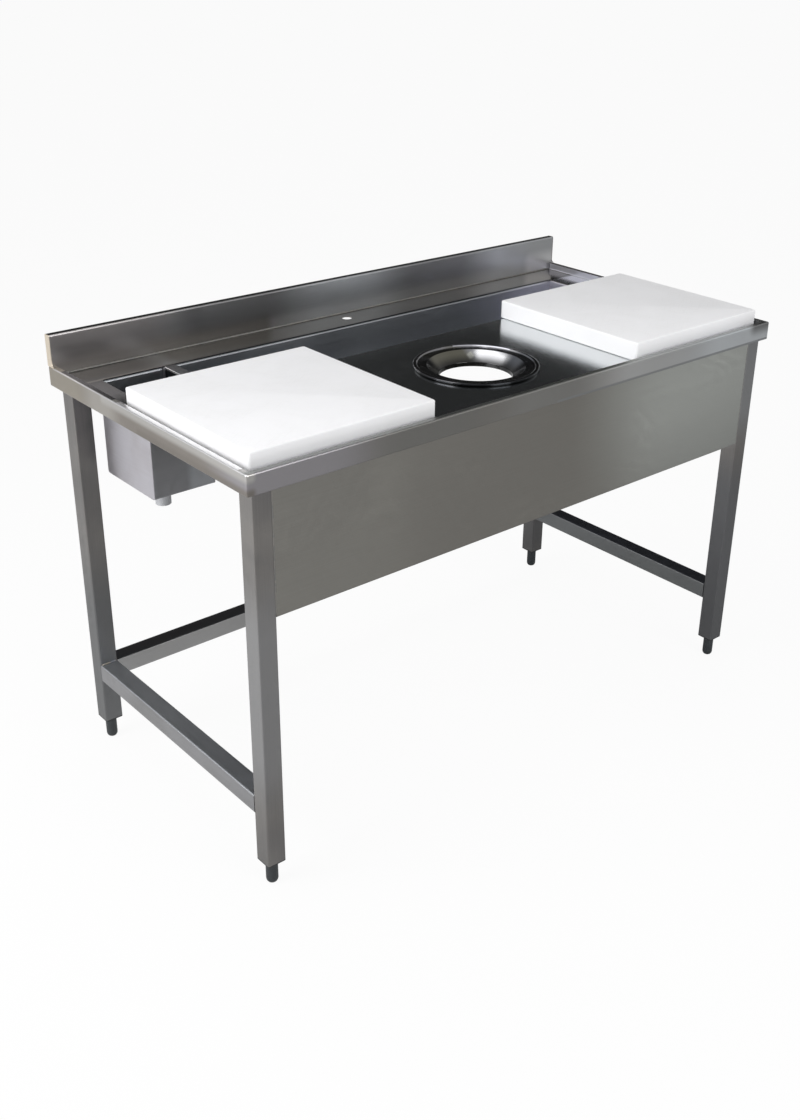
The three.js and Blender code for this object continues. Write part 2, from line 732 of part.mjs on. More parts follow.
function buildPlug() {
  const half = TUBE / 2;
  const fin = half - TUBE_WALL - PLUG_FIT;
  const core = PLUG_CORE / 2;
  const rimTop = FOOT_HEIGHT + PLUG_RIM;
  const top = rimTop + PLUG_DEPTH;
  const square = (reach, height, round) => alongZ(
    roundedRectangle([-reach, reach], [-reach, reach], round), height, MOULDED_CORNER_STEPS,
  );
  const corner = TUBE_CORNER - TUBE_WALL;
  const rim = square(half, [FOOT_HEIGHT, rimTop], TUBE_CORNER);
  const body = square(core, [FOOT_HEIGHT, top], corner);
  const pitch = PLUG_DEPTH / PLUG_FIN_COUNT;
  const fins = Array.from({ length: PLUG_FIN_COUNT }, (_, i) => {
    const level = top - i * pitch;
    return square(fin, [level - PLUG_FIN, level], corner);
  });
  const bore = disc(
    STEM_DIAMETER / 2 + SEAM, [FOOT_HEIGHT - OVERRUN, top + OVERRUN], SMALL_ROUND_SIDES,
  );
  return joined([rim, body, ...fins]).subtract(bore);
}

const footTop = FOOT_HEIGHT - SEAM;
const stemFoot = footTop - STEM_GRIP;

function buildFoot() {
  const radius = FOOT_DIAMETER / 2;
  const tip = FOOT_TIP_DIAMETER / 2;
  const bore = STEM_DIAMETER / 2 + SEAM;
  const nose = Array.from({ length: CORNER_STEPS + 1 }, (_, i) => {
    const angle = (Math.PI / 2) * (i / CORNER_STEPS);
    return [
      tip + (radius - tip) * Math.sin(angle),
      FOOT_NOSE * (1 - Math.cos(angle)),
    ];
  });
  const floor = stemFoot - SEAM;
  return turned([
    [0, 0], ...nose, [radius, footTop], [bore, footTop], [bore, floor], [0, floor],
  ], SMALL_ROUND_SIDES);
}

function buildStem() {
  const radius = STEM_DIAMETER / 2;
  const top = FOOT_HEIGHT + PLUG_RIM + PLUG_DEPTH + FOOT_TRAVEL;
  return turned([
    [0, stemFoot], [radius, stemFoot], [radius, top - STEM_CHAMFER],
    [radius - STEM_CHAMFER, top], [0, top],
  ], SMALL_ROUND_SIDES);
}

function buildBoard(side) {
  const half = BOARD_LENGTH / 2;
  const middle = side * boardCentreX + BOARD_SHIFT;
  const low = deckTop + SEAM;
  return slab(
    [middle - half, middle + half], [rimInsideFront + BOARD_FRONT_GAP, boardRear],
    [low, low + BOARD_THICKNESS], BOARD_CORNER, BOARD_EDGE,
  );
}

// Assembly
function piece(name, solid, material) {
  const mesh = new THREE.Mesh(geometryOf(solid), material.clone());
  mesh.name = name;
  return mesh;
}

const sides = [['left', -1], ['right', 1]];

function buildTop() {
  const top = new THREE.Group();
  top.add(piece('worktop', buildWorktop(), polishedSteel));
  top.add(piece('upstand', buildUpstand(), brushedSteel));
  sides.forEach(([word, side]) => {
    top.add(piece(`upstand_end_${word}`, buildUpstandEnd(side), brushedSteel));
    top.add(piece(`cutting_board_${word}`, buildBoard(side), boardPlastic));
  });
  return top;
}

function buildTrough() {
  const trough = new THREE.Group();
  trough.add(piece('trough_channel', buildTroughChannel(), brushedSteel));
  trough.add(piece('sump_body', buildSumpBody(), brushedSteel));
  trough.add(piece('sump_wall', buildSumpWall(), brushedSteel));
  sides.forEach(([word, side]) => {
    trough.add(piece(`trough_end_${word}`, buildTroughEnd(side), brushedSteel));
  });
  trough.add(piece('strainer_plate', buildStrainerPlate(), polishedSteel));
  trough.add(piece('strainer_guide_front', buildStrainerGuide(-1), brushedSteel));
  trough.add(piece('strainer_guide_rear', buildStrainerGuide(1), brushedSteel));
  return trough;
}

function buildWaste() {
  const waste = new THREE.Group();
  waste.add(piece('waste_strainer', buildWasteStrainer(), polishedSteel));
  waste.add(piece('waste_screw', buildWasteScrew(), boltSteel));
  waste.add(piece('waste_washer', buildWasteWasher(), sealRubber));
  waste.add(piece('waste_nut', buildWasteNut(), pipePlastic));
  waste.add(piece('waste_tailpiece', buildWasteTailpiece(), pipePlastic));
  waste.position.set(drainX, drainY, 0);
  return waste;
}

function buildChute() {
  const chute = new THREE.Group();
  chute.add(piece('chute_ring', buildChuteRing(), spunSteel));
  chute.add(piece('chute_gasket', buildChuteGasket(), sealRubber));
  chute.position.set(0, chuteY, 0);
  return chute;
}

function buildFrame() {
  const frame = new THREE.Group();
  sides.forEach(([word, side]) => {
    frame.add(piece(`side_channel_${word}`, buildSideChannel(side), brushedSteel));
    frame.add(piece(`cross_channel_${word}`, buildCrossChannel(side), brushedSteel));
    frame.add(piece(`lower_rail_${word}`, buildSideRail(side), brushedSteel));
  });
  frame.add(piece('front_channel', buildFrontChannel(), brushedSteel));
  frame.add(piece('lower_rail_rear', buildRearRail(), brushedSteel));
  frame.add(piece('apron', buildApron(), brushedSteel));
  return frame;
}

function buildLegAssembly(where, x, y) {
  const assembly = new THREE.Group();
  assembly.add(piece(`leg_${where}`, buildLeg(), brushedSteel));
  assembly.add(piece(`leg_plug_${where}`, buildPlug(), plugPlastic));
  assembly.add(piece(`foot_${where}`, buildFoot(), footPlastic));
  assembly.add(piece(`foot_stem_${where}`, buildStem(), boltSteel));
  assembly.position.set(x, y, 0);
  return assembly;
}

const table = new THREE.Group();
table.add(buildTop(), buildTrough(), buildWaste(), buildChute(), buildFrame());
sides.forEach(([word, side]) => {
  table.add(buildLegAssembly(`front_${word}`, side * legX, legFrontY));
  table.add(buildLegAssembly(`rear_${word}`, side * legX, legRearY));
});

export default table;
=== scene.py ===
"""The looks of a stainless steel fish cleaning table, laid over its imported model.

Sizes are in metres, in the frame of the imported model: X along the table, Y from front to back
and Z up from the floor.
"""

import logging
import math
from abc import ABC, abstractmethod
from collections.abc import Callable, Sequence
from dataclasses import dataclass
from enum import Enum
from functools import cached_property, partial

import bpy
from bpy.types import Material, Node, NodeSocket, NodeTree, Object, World
from mathutils import Matrix, Vector


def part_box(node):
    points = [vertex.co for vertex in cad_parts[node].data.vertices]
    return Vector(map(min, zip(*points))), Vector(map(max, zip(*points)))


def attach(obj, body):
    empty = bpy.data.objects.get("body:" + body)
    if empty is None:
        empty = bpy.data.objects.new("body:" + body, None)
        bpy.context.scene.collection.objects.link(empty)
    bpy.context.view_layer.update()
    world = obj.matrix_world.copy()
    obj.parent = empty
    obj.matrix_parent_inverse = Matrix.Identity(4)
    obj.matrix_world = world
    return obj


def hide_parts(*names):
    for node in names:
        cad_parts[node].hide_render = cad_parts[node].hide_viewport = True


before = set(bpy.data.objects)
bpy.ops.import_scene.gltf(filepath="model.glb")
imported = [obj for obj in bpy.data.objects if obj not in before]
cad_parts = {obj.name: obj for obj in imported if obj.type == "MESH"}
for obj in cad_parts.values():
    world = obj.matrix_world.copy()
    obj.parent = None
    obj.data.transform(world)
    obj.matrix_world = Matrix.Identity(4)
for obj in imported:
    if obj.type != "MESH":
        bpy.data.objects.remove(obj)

LOG = logging.getLogger("fish_cleaning_table")
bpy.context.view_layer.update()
SIDES = ("left", "right")
FALLING = (1.0, 0.0)  # the target of a range that falls instead of rising
STREAK_SHARE = 0.3  # how far the streaks of brushed steel shift its colour
FINE_DEPTH = 0.0001  # the relief of streaks, dimples and weld scale
WARP_DEPTH = 0.0012  # the relief of dents in sheet
SCRATCH_BOW = (0.012, 0.012, 0.012)  # how far a scratch strays from a straight line
PLASTIC_IOR = 1.5
SHARP = math.radians(40)  # the least angle of an edge that is rounded
MOST_CUT = 0.49  # the most of a line's leg that one rounded corner takes
MERGE = 1e-6  # the distance under which points are one

Vec3 = tuple[float, float, float]
Colour = tuple[float, float, float]
Ring = tuple[float, float]
Draw = Callable[..., NodeSocket]


class Grain(Enum):
    """The way the steel was brushed, as cells per metre of the streaks along X, Y and Z."""

    ALONG_X = (3.0, 420.0, 420.0)
    ALONG_Y = (420.0, 3.0, 420.0)
    ALONG_Z = (420.0, 420.0, 3.0)


class Leg(Enum):
    """The four legs, as the node names end."""

    FRONT_LEFT = "front_left"
    FRONT_RIGHT = "front_right"
    REAR_LEFT = "rear_left"
    REAR_RIGHT = "rear_right"


class Way(Enum):
    """The axis that a bead lies along, as the turn of one drawn upright."""

    X = (0, math.pi / 2, 0)
    Y = (math.pi / 2, 0, 0)
    Z = (0, 0, 0)


class Cut(Enum):
    """What one shape does to another."""

    ADD = "UNION"
    TAKE_AWAY = "DIFFERENCE"


class NodeBench:
    """Adds and joins the nodes of one node tree."""

    def __init__(self, tree: NodeTree) -> None:
        """Works on the tree of a material, a group or the world."""
        self.tree = tree

    @cached_property
    def place(self) -> NodeSocket:
        """The point on the object that is shaded."""
        return self.add("TexCoord").outputs["Object"]

    def feed(self, socket: NodeSocket, value: object) -> None:
        """Links a socket to another one, or sets its value.

        Args:
            socket: the input to feed.
            value: an output socket, or a plain value.
        """
        if isinstance(value, NodeSocket):
            self.tree.links.new(value, socket)
        else:
            socket.default_value = value

    def add(self, kind: str, inputs: dict | None = None, **settings: object) -> Node:
        """Adds a shader node.

        Args:
            kind: the node's type, after the word that every such type starts with.
            inputs: its inputs by name or number, as sockets or plain values.
            **settings: its own settings.

        Returns:
            The new node.
        """
        node = self.tree.nodes.new(f"ShaderNode{kind}")
        for name, value in settings.items():
            setattr(node, name, value)
        for key, value in (inputs or {}).items():
            self.feed(node.inputs[key], value)
        return node

    def math(self, operation: str, *values: object, clamp: bool = False) -> NodeSocket:
        """Adds a Math node with its inputs in order, kept between 0 and 1 where asked."""
        node = self.add("Math", dict(enumerate(values)), operation=operation, use_clamp=clamp)
        return node.outputs[0]

    def scaled(self, value: object, by: object, plus: object = 0.0, clamp: bool = False) -> NodeSocket:
        """Multiplies a value and adds another one to it."""
        return self.math("MULTIPLY_ADD", value, by, plus, clamp=clamp)

    def vector(self, operation: str, *values: object) -> NodeSocket:
        """Adds a Vector Math node with its inputs in order, and gives its vector or number."""
        node = self.add("VectorMath", dict(enumerate(values)), operation=operation)
        return node.outputs[1 if operation in ("LENGTH", "DOT_PRODUCT") else 0]

    def remap(self, value: object, source: Ring, target: Ring = (0.0, 1.0)) -> NodeSocket:
        """Maps a value smoothly from the source range to the target range."""
        inputs = dict(enumerate((value, *source, *target)))
        return self.add("MapRange", inputs, interpolation_type="SMOOTHSTEP").outputs[0]

    def blend(self, share: object, first: object, second: object) -> NodeSocket:
        """Mixes two colours.

        Args:
            share: how much of the second there is.
            first: a colour or a socket.
            second: a colour or a socket.

        Returns:
            The mixed colour.
        """
        node = self.add("Mix", data_type="RGBA")
        for key, value in ((0, share), (6, first), (7, second)):
            self.feed(node.inputs[key], (*value, 1.0) if isinstance(value, tuple) else value)
        return node.outputs[2]

    def part(self, vector: object, axis: int) -> NodeSocket:
        """Takes one coordinate of a vector: 0 for X, 1 for Y and 2 for Z."""
        return self.add("SeparateXYZ", {0: vector}).outputs[axis]

    def upward(self) -> NodeSocket:
        """Measures how far a face points up, from -1 to 1."""
        return self.part(self.add("NewGeometry").outputs["Normal"], 2)

    def noise(self, vector: object, scale: object, detail: float, **more: float) -> NodeSocket:
        """Adds a noise, and gives its number."""
        inputs = {"Vector": vector, "Scale": scale, "Detail": detail, **more}
        return self.add("TexNoise", inputs).outputs[0]

    def bump(
        self, height: object, strength: float, distance: float, under: object = None, sunk: bool = False
    ) -> NodeSocket:
        """Adds relief.

        Args:
            height: what stands out.
            strength: how much of it shows.
            distance: how far it stands out.
            under: the relief that it lies on.
            sunk: whether it goes in instead.

        Returns:
            The normal.
        """
        inputs = {"Strength": strength, "Distance": distance, "Height": height}
        if under is not None:
            inputs["Normal"] = under
        return self.add("Bump", inputs, invert=sunk).outputs[0]

    def surface(self, colour: object, gloss: object, normal: object, **more: float) -> NodeSocket:
        """Adds the shader of a finish."""
        inputs = {"Base Color": colour, "Roughness": gloss, "Normal": normal, **more}
        return self.add("BsdfPrincipled", inputs).outputs[0]


def empty_bench(owner: Material | World) -> NodeBench:
    """Starts the nodes of a material or a world afresh.

    Args:
        owner: the material or world.

    Returns:
        The bench of its tree.
    """
    owner.use_nodes = True
    owner.node_tree.nodes.clear()
    return NodeBench(owner.node_tree)


def place_effect(
    draw: Draw, output: str, usual: dict[str, object], bench: NodeBench, **values: object
) -> NodeSocket:
    """Places an effect in a material, and builds its node group at the first use.

    Args:
        draw: lays out the group's nodes, given a bench and the group's inputs in order.
        output: the name of the group's one output, a number.
        usual: its inputs with their usual values: a number, or three for a vector.
        bench: the material's bench.
        **values: its inputs in this material, as sockets or plain values.

    Returns:
        Its output.
    """
    name = draw.__name__.replace("_", " ")
    tree = bpy.data.node_groups.get(name)
    if tree is None:
        tree = bpy.data.node_groups.new(name, "ShaderNodeTree")
        for label, value in usual.items():
            kind = "NodeSocketVector" if isinstance(value, tuple) else "NodeSocketFloat"
            socket = tree.interface.new_socket(name=label, in_out="INPUT", socket_type=kind)
            socket.default_value = value
        tree.interface.new_socket(name=output, in_out="OUTPUT", socket_type="NodeSocketFloat")
        given = tree.nodes.new("NodeGroupInput").outputs
        result = tree.nodes.new("NodeGroupOutput").inputs[0]
        inner = NodeBench(tree)
        inner.feed(result, draw(inner, *(given[label] for label in usual)))
    return bench.add("Group", {"Vector": bench.place, **values}, node_tree=tree).outputs[0]


def shared_effect(output: str, **usual: object) -> Callable[[Draw], Draw]:
    """Turns a function that lays out an effect into one that places it in a material."""
    return lambda draw: partial(place_effect, draw, output, {"Vector": (0, 0, 0), **usual})


@shared_effect("Streaks", Cells=(3, 420, 420))
def brushing(bench: NodeBench, vector: NodeSocket, cells: NodeSocket) -> NodeSocket:
    """The streaks of brushed steel: fine ones, gathered in broad bands.

    Args:
        bench: the group's bench.
        vector: the point on the object.
        cells: cells per metre along X, Y and Z.

    Returns:
        0 to 1 across the streaks.
    """
    stretched = bench.vector("MULTIPLY", vector, cells)
    fine = bench.noise(stretched, scale=2.4, detail=3.0)
    broad = bench.noise(stretched, scale=0.16, detail=4.0)
    return bench.remap(bench.scaled(broad, 0.25, bench.scaled(fine, 0.75)), (0.3, 0.7))


@shared_effect("Patches", Size=0.2)
def clouding(bench: NodeBench, vector: NodeSocket, size: NodeSocket) -> NodeSocket:
    """Soft uneven patches, as thin sheet shows them.

    Args:
        bench: the group's bench.
        vector: the point on the object.
        size: the size of a patch.

    Returns:
        0 to 1 over the patches.
    """
    patches = bench.noise(vector, bench.math("DIVIDE", 1.0, size), detail=2.5, Distortion=0.6)
    return bench.remap(patches, (0.32, 0.68))


@shared_effect("Smears", Bands=9.0)
def wiping(bench: NodeBench, vector: NodeSocket, bands: NodeSocket) -> NodeSocket:
    """Marks that a wet cloth leaves: bowed smears that come and go.

    Args:
        bench: the group's bench.
        vector: the point on the object.
        bands: how close the smears lie.

    Returns:
        0 where clean and 1 in a smear.
    """
    inputs = {"Vector": vector, "Scale": bands, "Distortion": 14.0, "Detail": 3.0, "Detail Scale": 1.4}
    bowed = bench.add("TexWave", inputs, wave_type="RINGS", rings_direction="SPHERICAL").outputs[1]
    left = bench.remap(bench.noise(vector, scale=7.0, detail=2.0), (0.45, 0.7))
    return bench.scaled(bench.remap(bowed, (0.35, 0.95)), left)


@shared_effect("Inside", Centre=(0, 0, 0), Reach=(0.1, 0.1, 0.1), Edge=0.1)
def painted_light_zone(
    bench: NodeBench, vector: NodeSocket, centre: NodeSocket, reach: NodeSocket, edge: NodeSocket
) -> NodeSocket:
    """A box in space with soft edges, the mask of a zone of painted light and shade.

    Args:
        bench: the group's bench.
        vector: the point on the object.
        centre: the middle of the box.
        reach: half its size along X, Y and Z.
        edge: the width of its soft edge.

    Returns:
        1 in the box and 0 beyond its soft edge.
    """
    away = bench.vector("ABSOLUTE", bench.vector("SUBTRACT", vector, centre))
    away = bench.vector("MAXIMUM", bench.vector("SUBTRACT", away, reach), (0.0, 0.0, 0.0))
    outside = bench.math("DIVIDE", bench.vector("LENGTH", away), edge)
    return bench.remap(outside, (0.0, 1.0), FALLING)


@shared_effect("Scratches", Angle=0.0, Cells=(3, 260, 1))
def scoring(bench: NodeBench, vector: NodeSocket, angle: NodeSocket, cells: NodeSocket) -> NodeSocket:
    """Thin straight scratches that all run about one way.

    Args:
        bench: the group's bench.
        vector: the point on the object.
        angle: the way that they run.
        cells: cells per metre along and across them.

    Returns:
        1 in a scratch and 0 beside it.
    """
    inputs = {"Vector": vector, "Angle": angle}
    turned = bench.add("VectorRotate", inputs, rotation_type="Z_AXIS").outputs[0]
    bowed = bench.add("TexNoise", {"Vector": turned, "Scale": 6.0}).outputs[1]
    bent = bench.vector("ADD", turned, bench.vector("MULTIPLY", bowed, SCRATCH_BOW))
    inputs = {"Vector": bench.vector("MULTIPLY", bent, cells), "Scale": 1.0}
    dots = bench.add("TexVoronoi", inputs, voronoi_dimensions="2D").outputs[0]
    return bench.remap(dots, (0.03, 0.16), FALLING)


@shared_effect("Rings", Axis=(0, 0, 0))
def turning(bench: NodeBench, vector: NodeSocket, axis: NodeSocket) -> NodeSocket:
    """Fine rings about an upright axis, as spinning and turning leave them.

    Args:
        bench: the group's bench.
        vector: the point on the object.
        axis: a point on the axis.

    Returns:
        0 to 1 across the rings.
    """
    spoke = bench.vector("SUBTRACT", vector, axis)
    flat = bench.vector("MULTIPLY", spoke, (1.0, 1.0, 0.0))
    section = {0: bench.vector("LENGTH", flat), 1: bench.part(spoke, 2)}
    rings = bench.noise(bench.add("CombineXYZ", section).outputs[0], scale=900.0, detail=2.0)
    return bench.remap(rings, (0.3, 0.7))


@shared_effect("Dimples", Size=0.001)
def pitting(bench: NodeBench, vector: NodeSocket, size: NodeSocket) -> NodeSocket:
    """The small dimples of moulded plastic and rubber.

    Args:
        bench: the group's bench.
        vector: the point on the object.
        size: the size of a dimple.

    Returns:
        0 to 1 over the dimples.
    """
    dimples = bench.noise(vector, bench.math("DIVIDE", 1.0, size), detail=4.0, Roughness=0.6)
    return bench.remap(dimples, (0.35, 0.65))


@dataclass(frozen=True)
class PaintedLight:
    """Painted light and shade: a zone where a finish leans to another colour by some share."""

    centre: Vec3
    reach: Vec3
    edge: float
    colour: Colour
    share: float = 0.9


@dataclass(frozen=True)
class Finish(ABC):
    """A finish of this table, made into a material the first time it is asked for."""

    name: str
    slot: str
    colour: Colour
    second: Colour
    roughness: float
    # painted highlights, reflections and shade, laid over the colour
    tones: tuple[PaintedLight, ...] = ()

    @abstractmethod
    def shade(self, bench: NodeBench) -> NodeSocket:
        """Lays out the finish.

        Args:
            bench: the material's bench.

        Returns:
            The shader's output.
        """

    def material(self) -> Material:
        """Makes the material, or finds it.

        Returns:
            The material.
        """
        if self.name in bpy.data.materials:
            return bpy.data.materials[self.name]
        made = bpy.data.materials.new(self.name)
        bench = empty_bench(made)
        bench.add("OutputMaterial", {0: self.shade(bench)})
        return made

    def toned(self, bench: NodeBench, colour: NodeSocket, tones: Sequence[PaintedLight]) -> NodeSocket:
        """Paints light and shade over a colour, as soft zones of other colours.

        Args:
            bench: the material's bench.
            colour: the colour so far.
            tones: the zones of painted light and shade, the last on top.

        Returns:
            The colour with the zones.
        """
        for painted in tones:
            inside = painted_light_zone(bench, Centre=painted.centre, Reach=painted.reach, Edge=painted.edge)
            colour = bench.blend(bench.scaled(inside, painted.share), colour, painted.colour)
        return colour


@dataclass(frozen=True)
class BrushedSteel(Finish):
    """Satin stainless sheet or tube with streaks along one direction."""

    grain: Grain = Grain.ALONG_X
    patch_size: float = 0.22
    patch_share: float = 0.55
    depth: float = 0.25
    warp: float = 0.3
    wiped: float = 0.07
    uneven: float = 0.1

    def shade(self, bench: NodeBench) -> NodeSocket:
        """Puts streaks and soft patches in colour, gloss and relief.

        Args:
            bench: the material's bench.

        Returns:
            The shader's output.
        """
        streaks = brushing(bench, Cells=self.grain.value)
        patches = clouding(bench, Size=self.patch_size)
        smears = wiping(bench)
        share = bench.scaled(patches, self.patch_share)
        share = bench.scaled(bench.math("SUBTRACT", streaks, 0.5), STREAK_SHARE, share, clamp=True)
        # paints the finish's highlights, reflections and shade over its colour
        colour = self.toned(bench, bench.blend(share, self.colour, self.second), self.tones)
        gloss = bench.scaled(streaks, self.uneven, self.roughness - self.uneven / 2)
        gloss = bench.scaled(smears, self.wiped, gloss, clamp=True)
        relief = bench.bump(streaks, self.depth, FINE_DEPTH)
        return bench.surface(colour, gloss, bench.bump(patches, self.warp, WARP_DEPTH, relief), Metallic=1.0)


@dataclass(frozen=True)
class WorktopSteel(Finish):
    """The worktop's sheet: brushed on rim and fascia, polished almost to a mirror on the deck.

    The deck is what faces up between the heights where deck_from ends and deck_to starts.
    """

    deck: Colour = (0.1, 0.1, 0.1)
    deck_second: Colour = (0.12, 0.12, 0.12)
    deck_roughness: float = 0.1
    # painted reflections and shade on the deck
    deck_tones: tuple[PaintedLight, ...] = ()
    deck_from: Ring = (0.8488, 0.8496)
    deck_to: Ring = (0.8505, 0.853)
    patch_share: float = 0.5
    deck_patch_share: float = 0.6
    uneven: float = 0.1
    deck_uneven: float = 0.02
    deck_wiped: float = 0.03
    depth: float = 0.2
    warp_depth: float = 0.001
    patch_size: float = 0.25
    bands: float = 5.0
    slope: Ring = (0.2, 0.8)

    def shade(self, bench: NodeBench) -> NodeSocket:
        """Tells the deck by its height, and gives it its own colour and gloss.

        Args:
            bench: the material's bench.

        Returns:
            The shader's output.
        """
        streaks = brushing(bench, Cells=Grain.ALONG_X.value)
        patches = clouding(bench, Size=self.patch_size)
        smears = wiping(bench, Bands=self.bands)
        height = bench.part(bench.place, 2)
        level = bench.scaled(bench.remap(height, self.deck_to, FALLING), bench.remap(height, self.deck_from))
        on_deck = bench.scaled(level, bench.remap(bench.upward(), self.slope))
        rim = bench.blend(bench.scaled(patches, self.patch_share), self.colour, self.second)
        # paints highlights, reflections and shade over the rim and fascia
        rim = self.toned(bench, rim, self.tones)
        deck = bench.blend(bench.scaled(patches, self.deck_patch_share), self.deck, self.deck_second)
        # paints reflections and shade over the deck
        deck = self.toned(bench, deck, self.deck_tones)
        dull = bench.scaled(streaks, self.uneven, self.roughness - self.uneven / 2)
        bright = bench.scaled(smears, self.deck_wiped, self.deck_roughness)
        bright = bench.scaled(streaks, self.deck_uneven, bright)
        gloss = bench.scaled(bench.math("SUBTRACT", bright, dull), on_deck, dull, clamp=True)
        relief = bench.bump(streaks, self.depth, FINE_DEPTH)
        warp = bench.bump(patches, self.depth, self.warp_depth, relief)
        return bench.surface(bench.blend(on_deck, rim, deck), gloss, warp, Metallic=1.0)


@dataclass(frozen=True)
class TurnedSteel(Finish):
    """Spun or turned steel with fine rings about an upright axis."""

    axis: Vec3 = (0.0, 0.0, 0.0)
    patch_size: float = 0.05
    patch_share: float = 0.6
    bands: float = 14.0
    wiped: float = 0.08
    uneven: float = 0.06
    depth: float = 0.25
    ring_depth: float = 0.00006

    def shade(self, bench: NodeBench) -> NodeSocket:
        """Puts rings in gloss and relief, and patches in colour.

        Args:
            bench: the material's bench.

        Returns:
            The shader's output.
        """
        rings = turning(bench, Axis=self.axis)
        patches = clouding(bench, Size=self.patch_size)
        smears = wiping(bench, Bands=self.bands)
        colour = bench.blend(bench.scaled(patches, self.patch_share), self.colour, self.second)
        # paints the finish's highlights, reflections and shade over its colour
        colour = self.toned(bench, colour, self.tones)
        gloss = bench.scaled(rings, self.uneven, self.roughness)
        gloss = bench.scaled(smears, self.wiped, gloss, clamp=True)
        relief = bench.bump(rings, self.depth, self.ring_depth)
        return bench.surface(colour, gloss, relief, Metallic=1.0)


@dataclass(frozen=True)
class CuttingPlastic(Finish):
    """White cutting-board plastic: planed, knife-marked and a little stained."""

    cuts: tuple[tuple[float, Vec3], ...] = (
        (0.35, (3.1, 300, 1)),
        (-0.6, (4.3, 380, 1)),
        (1.35, (3.7, 430, 1)),
    )
    stain: Colour = (0.6, 0.6, 0.58)
    stained: float = 0.2
    patch_size: float = 0.12
    patch_share: float = 0.5
    ripple_size: float = 0.0016
    ripple: Ring = (0.25, 0.00012)
    uneven: float = 0.1
    cut: Ring = (0.5, 0.0002)
    cut_dull: float = 0.15
    cut_slope: Ring = (0.5, 0.9)

    def shade(self, bench: NodeBench) -> NodeSocket:
        """Lays knife marks of several ways on the flat faces, over a faintly rippled ground.

        Args:
            bench: the material's bench.

        Returns:
            The shader's output.
        """
        marks = 0.0
        for angle, cells in self.cuts:
            marks = bench.math("MAXIMUM", marks, scoring(bench, Angle=angle, Cells=cells))
        patches = clouding(bench, Size=self.patch_size)
        used = bench.scaled(marks, bench.remap(patches, (0.1, 0.9), (0.35, 1.0)))
        used = bench.scaled(used, bench.remap(bench.math("ABSOLUTE", bench.upward()), self.cut_slope))
        grain = pitting(bench, Size=self.ripple_size)
        colour = bench.blend(bench.scaled(patches, self.patch_share), self.colour, self.second)
        colour = bench.blend(bench.scaled(used, self.stained), colour, self.stain)
        gloss = bench.scaled(grain, self.uneven, self.roughness)
        gloss = bench.scaled(used, self.cut_dull, gloss, clamp=True)
        relief = bench.bump(used, *self.cut, bench.bump(grain, *self.ripple), sunk=True)
        return bench.surface(colour, gloss, relief, IOR=PLASTIC_IOR)


@dataclass(frozen=True)
class MouldedPlastic(Finish):
    """Moulded plastic or rubber: dimpled, with paler scuffs."""

    dimple: float = 0.0008
    depth: float = 0.3
    patch_size: float = 0.018
    scuffs: float = 0.4
    scuff_dull: float = 0.15
    uneven: float = 0.12

    def shade(self, bench: NodeBench) -> NodeSocket:
        """Puts dimples in relief and gloss, and scuffs in colour.

        Args:
            bench: the material's bench.

        Returns:
            The shader's output.
        """
        dimples = pitting(bench, Size=self.dimple)
        patches = clouding(bench, Size=self.patch_size)
        worn = bench.scaled(bench.scaled(patches, dimples), self.scuffs)
        colour = bench.blend(worn, self.colour, self.second)
        gloss = bench.scaled(dimples, self.uneven, self.roughness)
        gloss = bench.scaled(worn, self.scuff_dull, gloss, clamp=True)
        return bench.surface(colour, gloss, bench.bump(dimples, self.depth, FINE_DEPTH), IOR=PLASTIC_IOR)


@dataclass(frozen=True)
class WeldedSteel(Finish):
    """The steel of a weld bead, with straw and blue heat tints."""

    tint_size: float = 0.012
    scale_size: float = 0.0009
    uneven: float = 0.15
    depth: float = 0.3

    def shade(self, bench: NodeBench) -> NodeSocket:
        """Lays tints that change along the bead.

        Args:
            bench: the material's bench.

        Returns:
            The shader's output.
        """
        tints = clouding(bench, Size=self.tint_size)
        scale = pitting(bench, Size=self.scale_size)
        gloss = bench.scaled(scale, self.uneven, self.roughness, clamp=True)
        colour = bench.blend(tints, self.colour, self.second)
        return bench.surface(colour, gloss, bench.bump(scale, self.depth, FINE_DEPTH), Metallic=1.0)


def deselect_all() -> None:
    """Leaves edit mode, with nothing selected."""
    if bpy.context.object is not None and bpy.context.object.mode != "OBJECT":
        bpy.ops.object.mode_set(mode="OBJECT")
    bpy.ops.object.select_all(action="DESELECT")


def pick(piece: Object) -> None:
    """Selects one piece alone and makes it active.

    Args:
        piece: the piece.
    """
    deselect_all()
    piece.select_set(True)
    bpy.context.view_layer.objects.active = piece


def settle(piece: Object) -> None:
    """Moves a piece's place, turn and scale into its mesh."""
    pick(piece)
    bpy.ops.object.transform_apply(location=True, rotation=True, scale=True)


def smooth(piece: Object, degrees: float = 32.0) -> None:
    """Shades a piece smooth where its faces meet at a smaller angle than this."""
    pick(piece)
    bpy.ops.object.shade_smooth_by_angle(angle=math.radians(degrees))


def cover(piece: Object, finish: Finish) -> None:
    """Gives a piece one finish all over."""
    piece.data.materials.clear()
    piece.data.materials.append(finish.material())


def call(piece: Object, name: str) -> None:
    """Names a piece and its mesh."""
    piece.name = piece.data.name = name


def apply_modifier(piece: Object, kind: str, **settings: object) -> None:
    """Adds a modifier and applies it.

    Args:
        piece: the piece to change.
        kind: the modifier's type.
        **settings: its settings.
    """
    pick(piece)
    modifier = piece.modifiers.new(kind.lower(), kind)
    for name, value in settings.items():
        setattr(modifier, name, value)
    bpy.ops.object.modifier_apply(modifier=modifier.name)


def soften(piece: Object, width: float, segments: int) -> None:
    """Rounds every sharp edge of a piece, by a width and with some faces across it."""
    limit = {"limit_method": "ANGLE", "angle_limit": SHARP}
    apply_modifier(piece, "BEVEL", width=width, segments=segments, **limit)


def combine(piece: Object, cut: Cut, tool: Object) -> None:
    """Adds a tool to a piece or takes it away from it, and drops the tool."""
    apply_modifier(piece, "BOOLEAN", operation=cut.value, object=tool, solver="EXACT")
    bpy.data.objects.remove(tool)


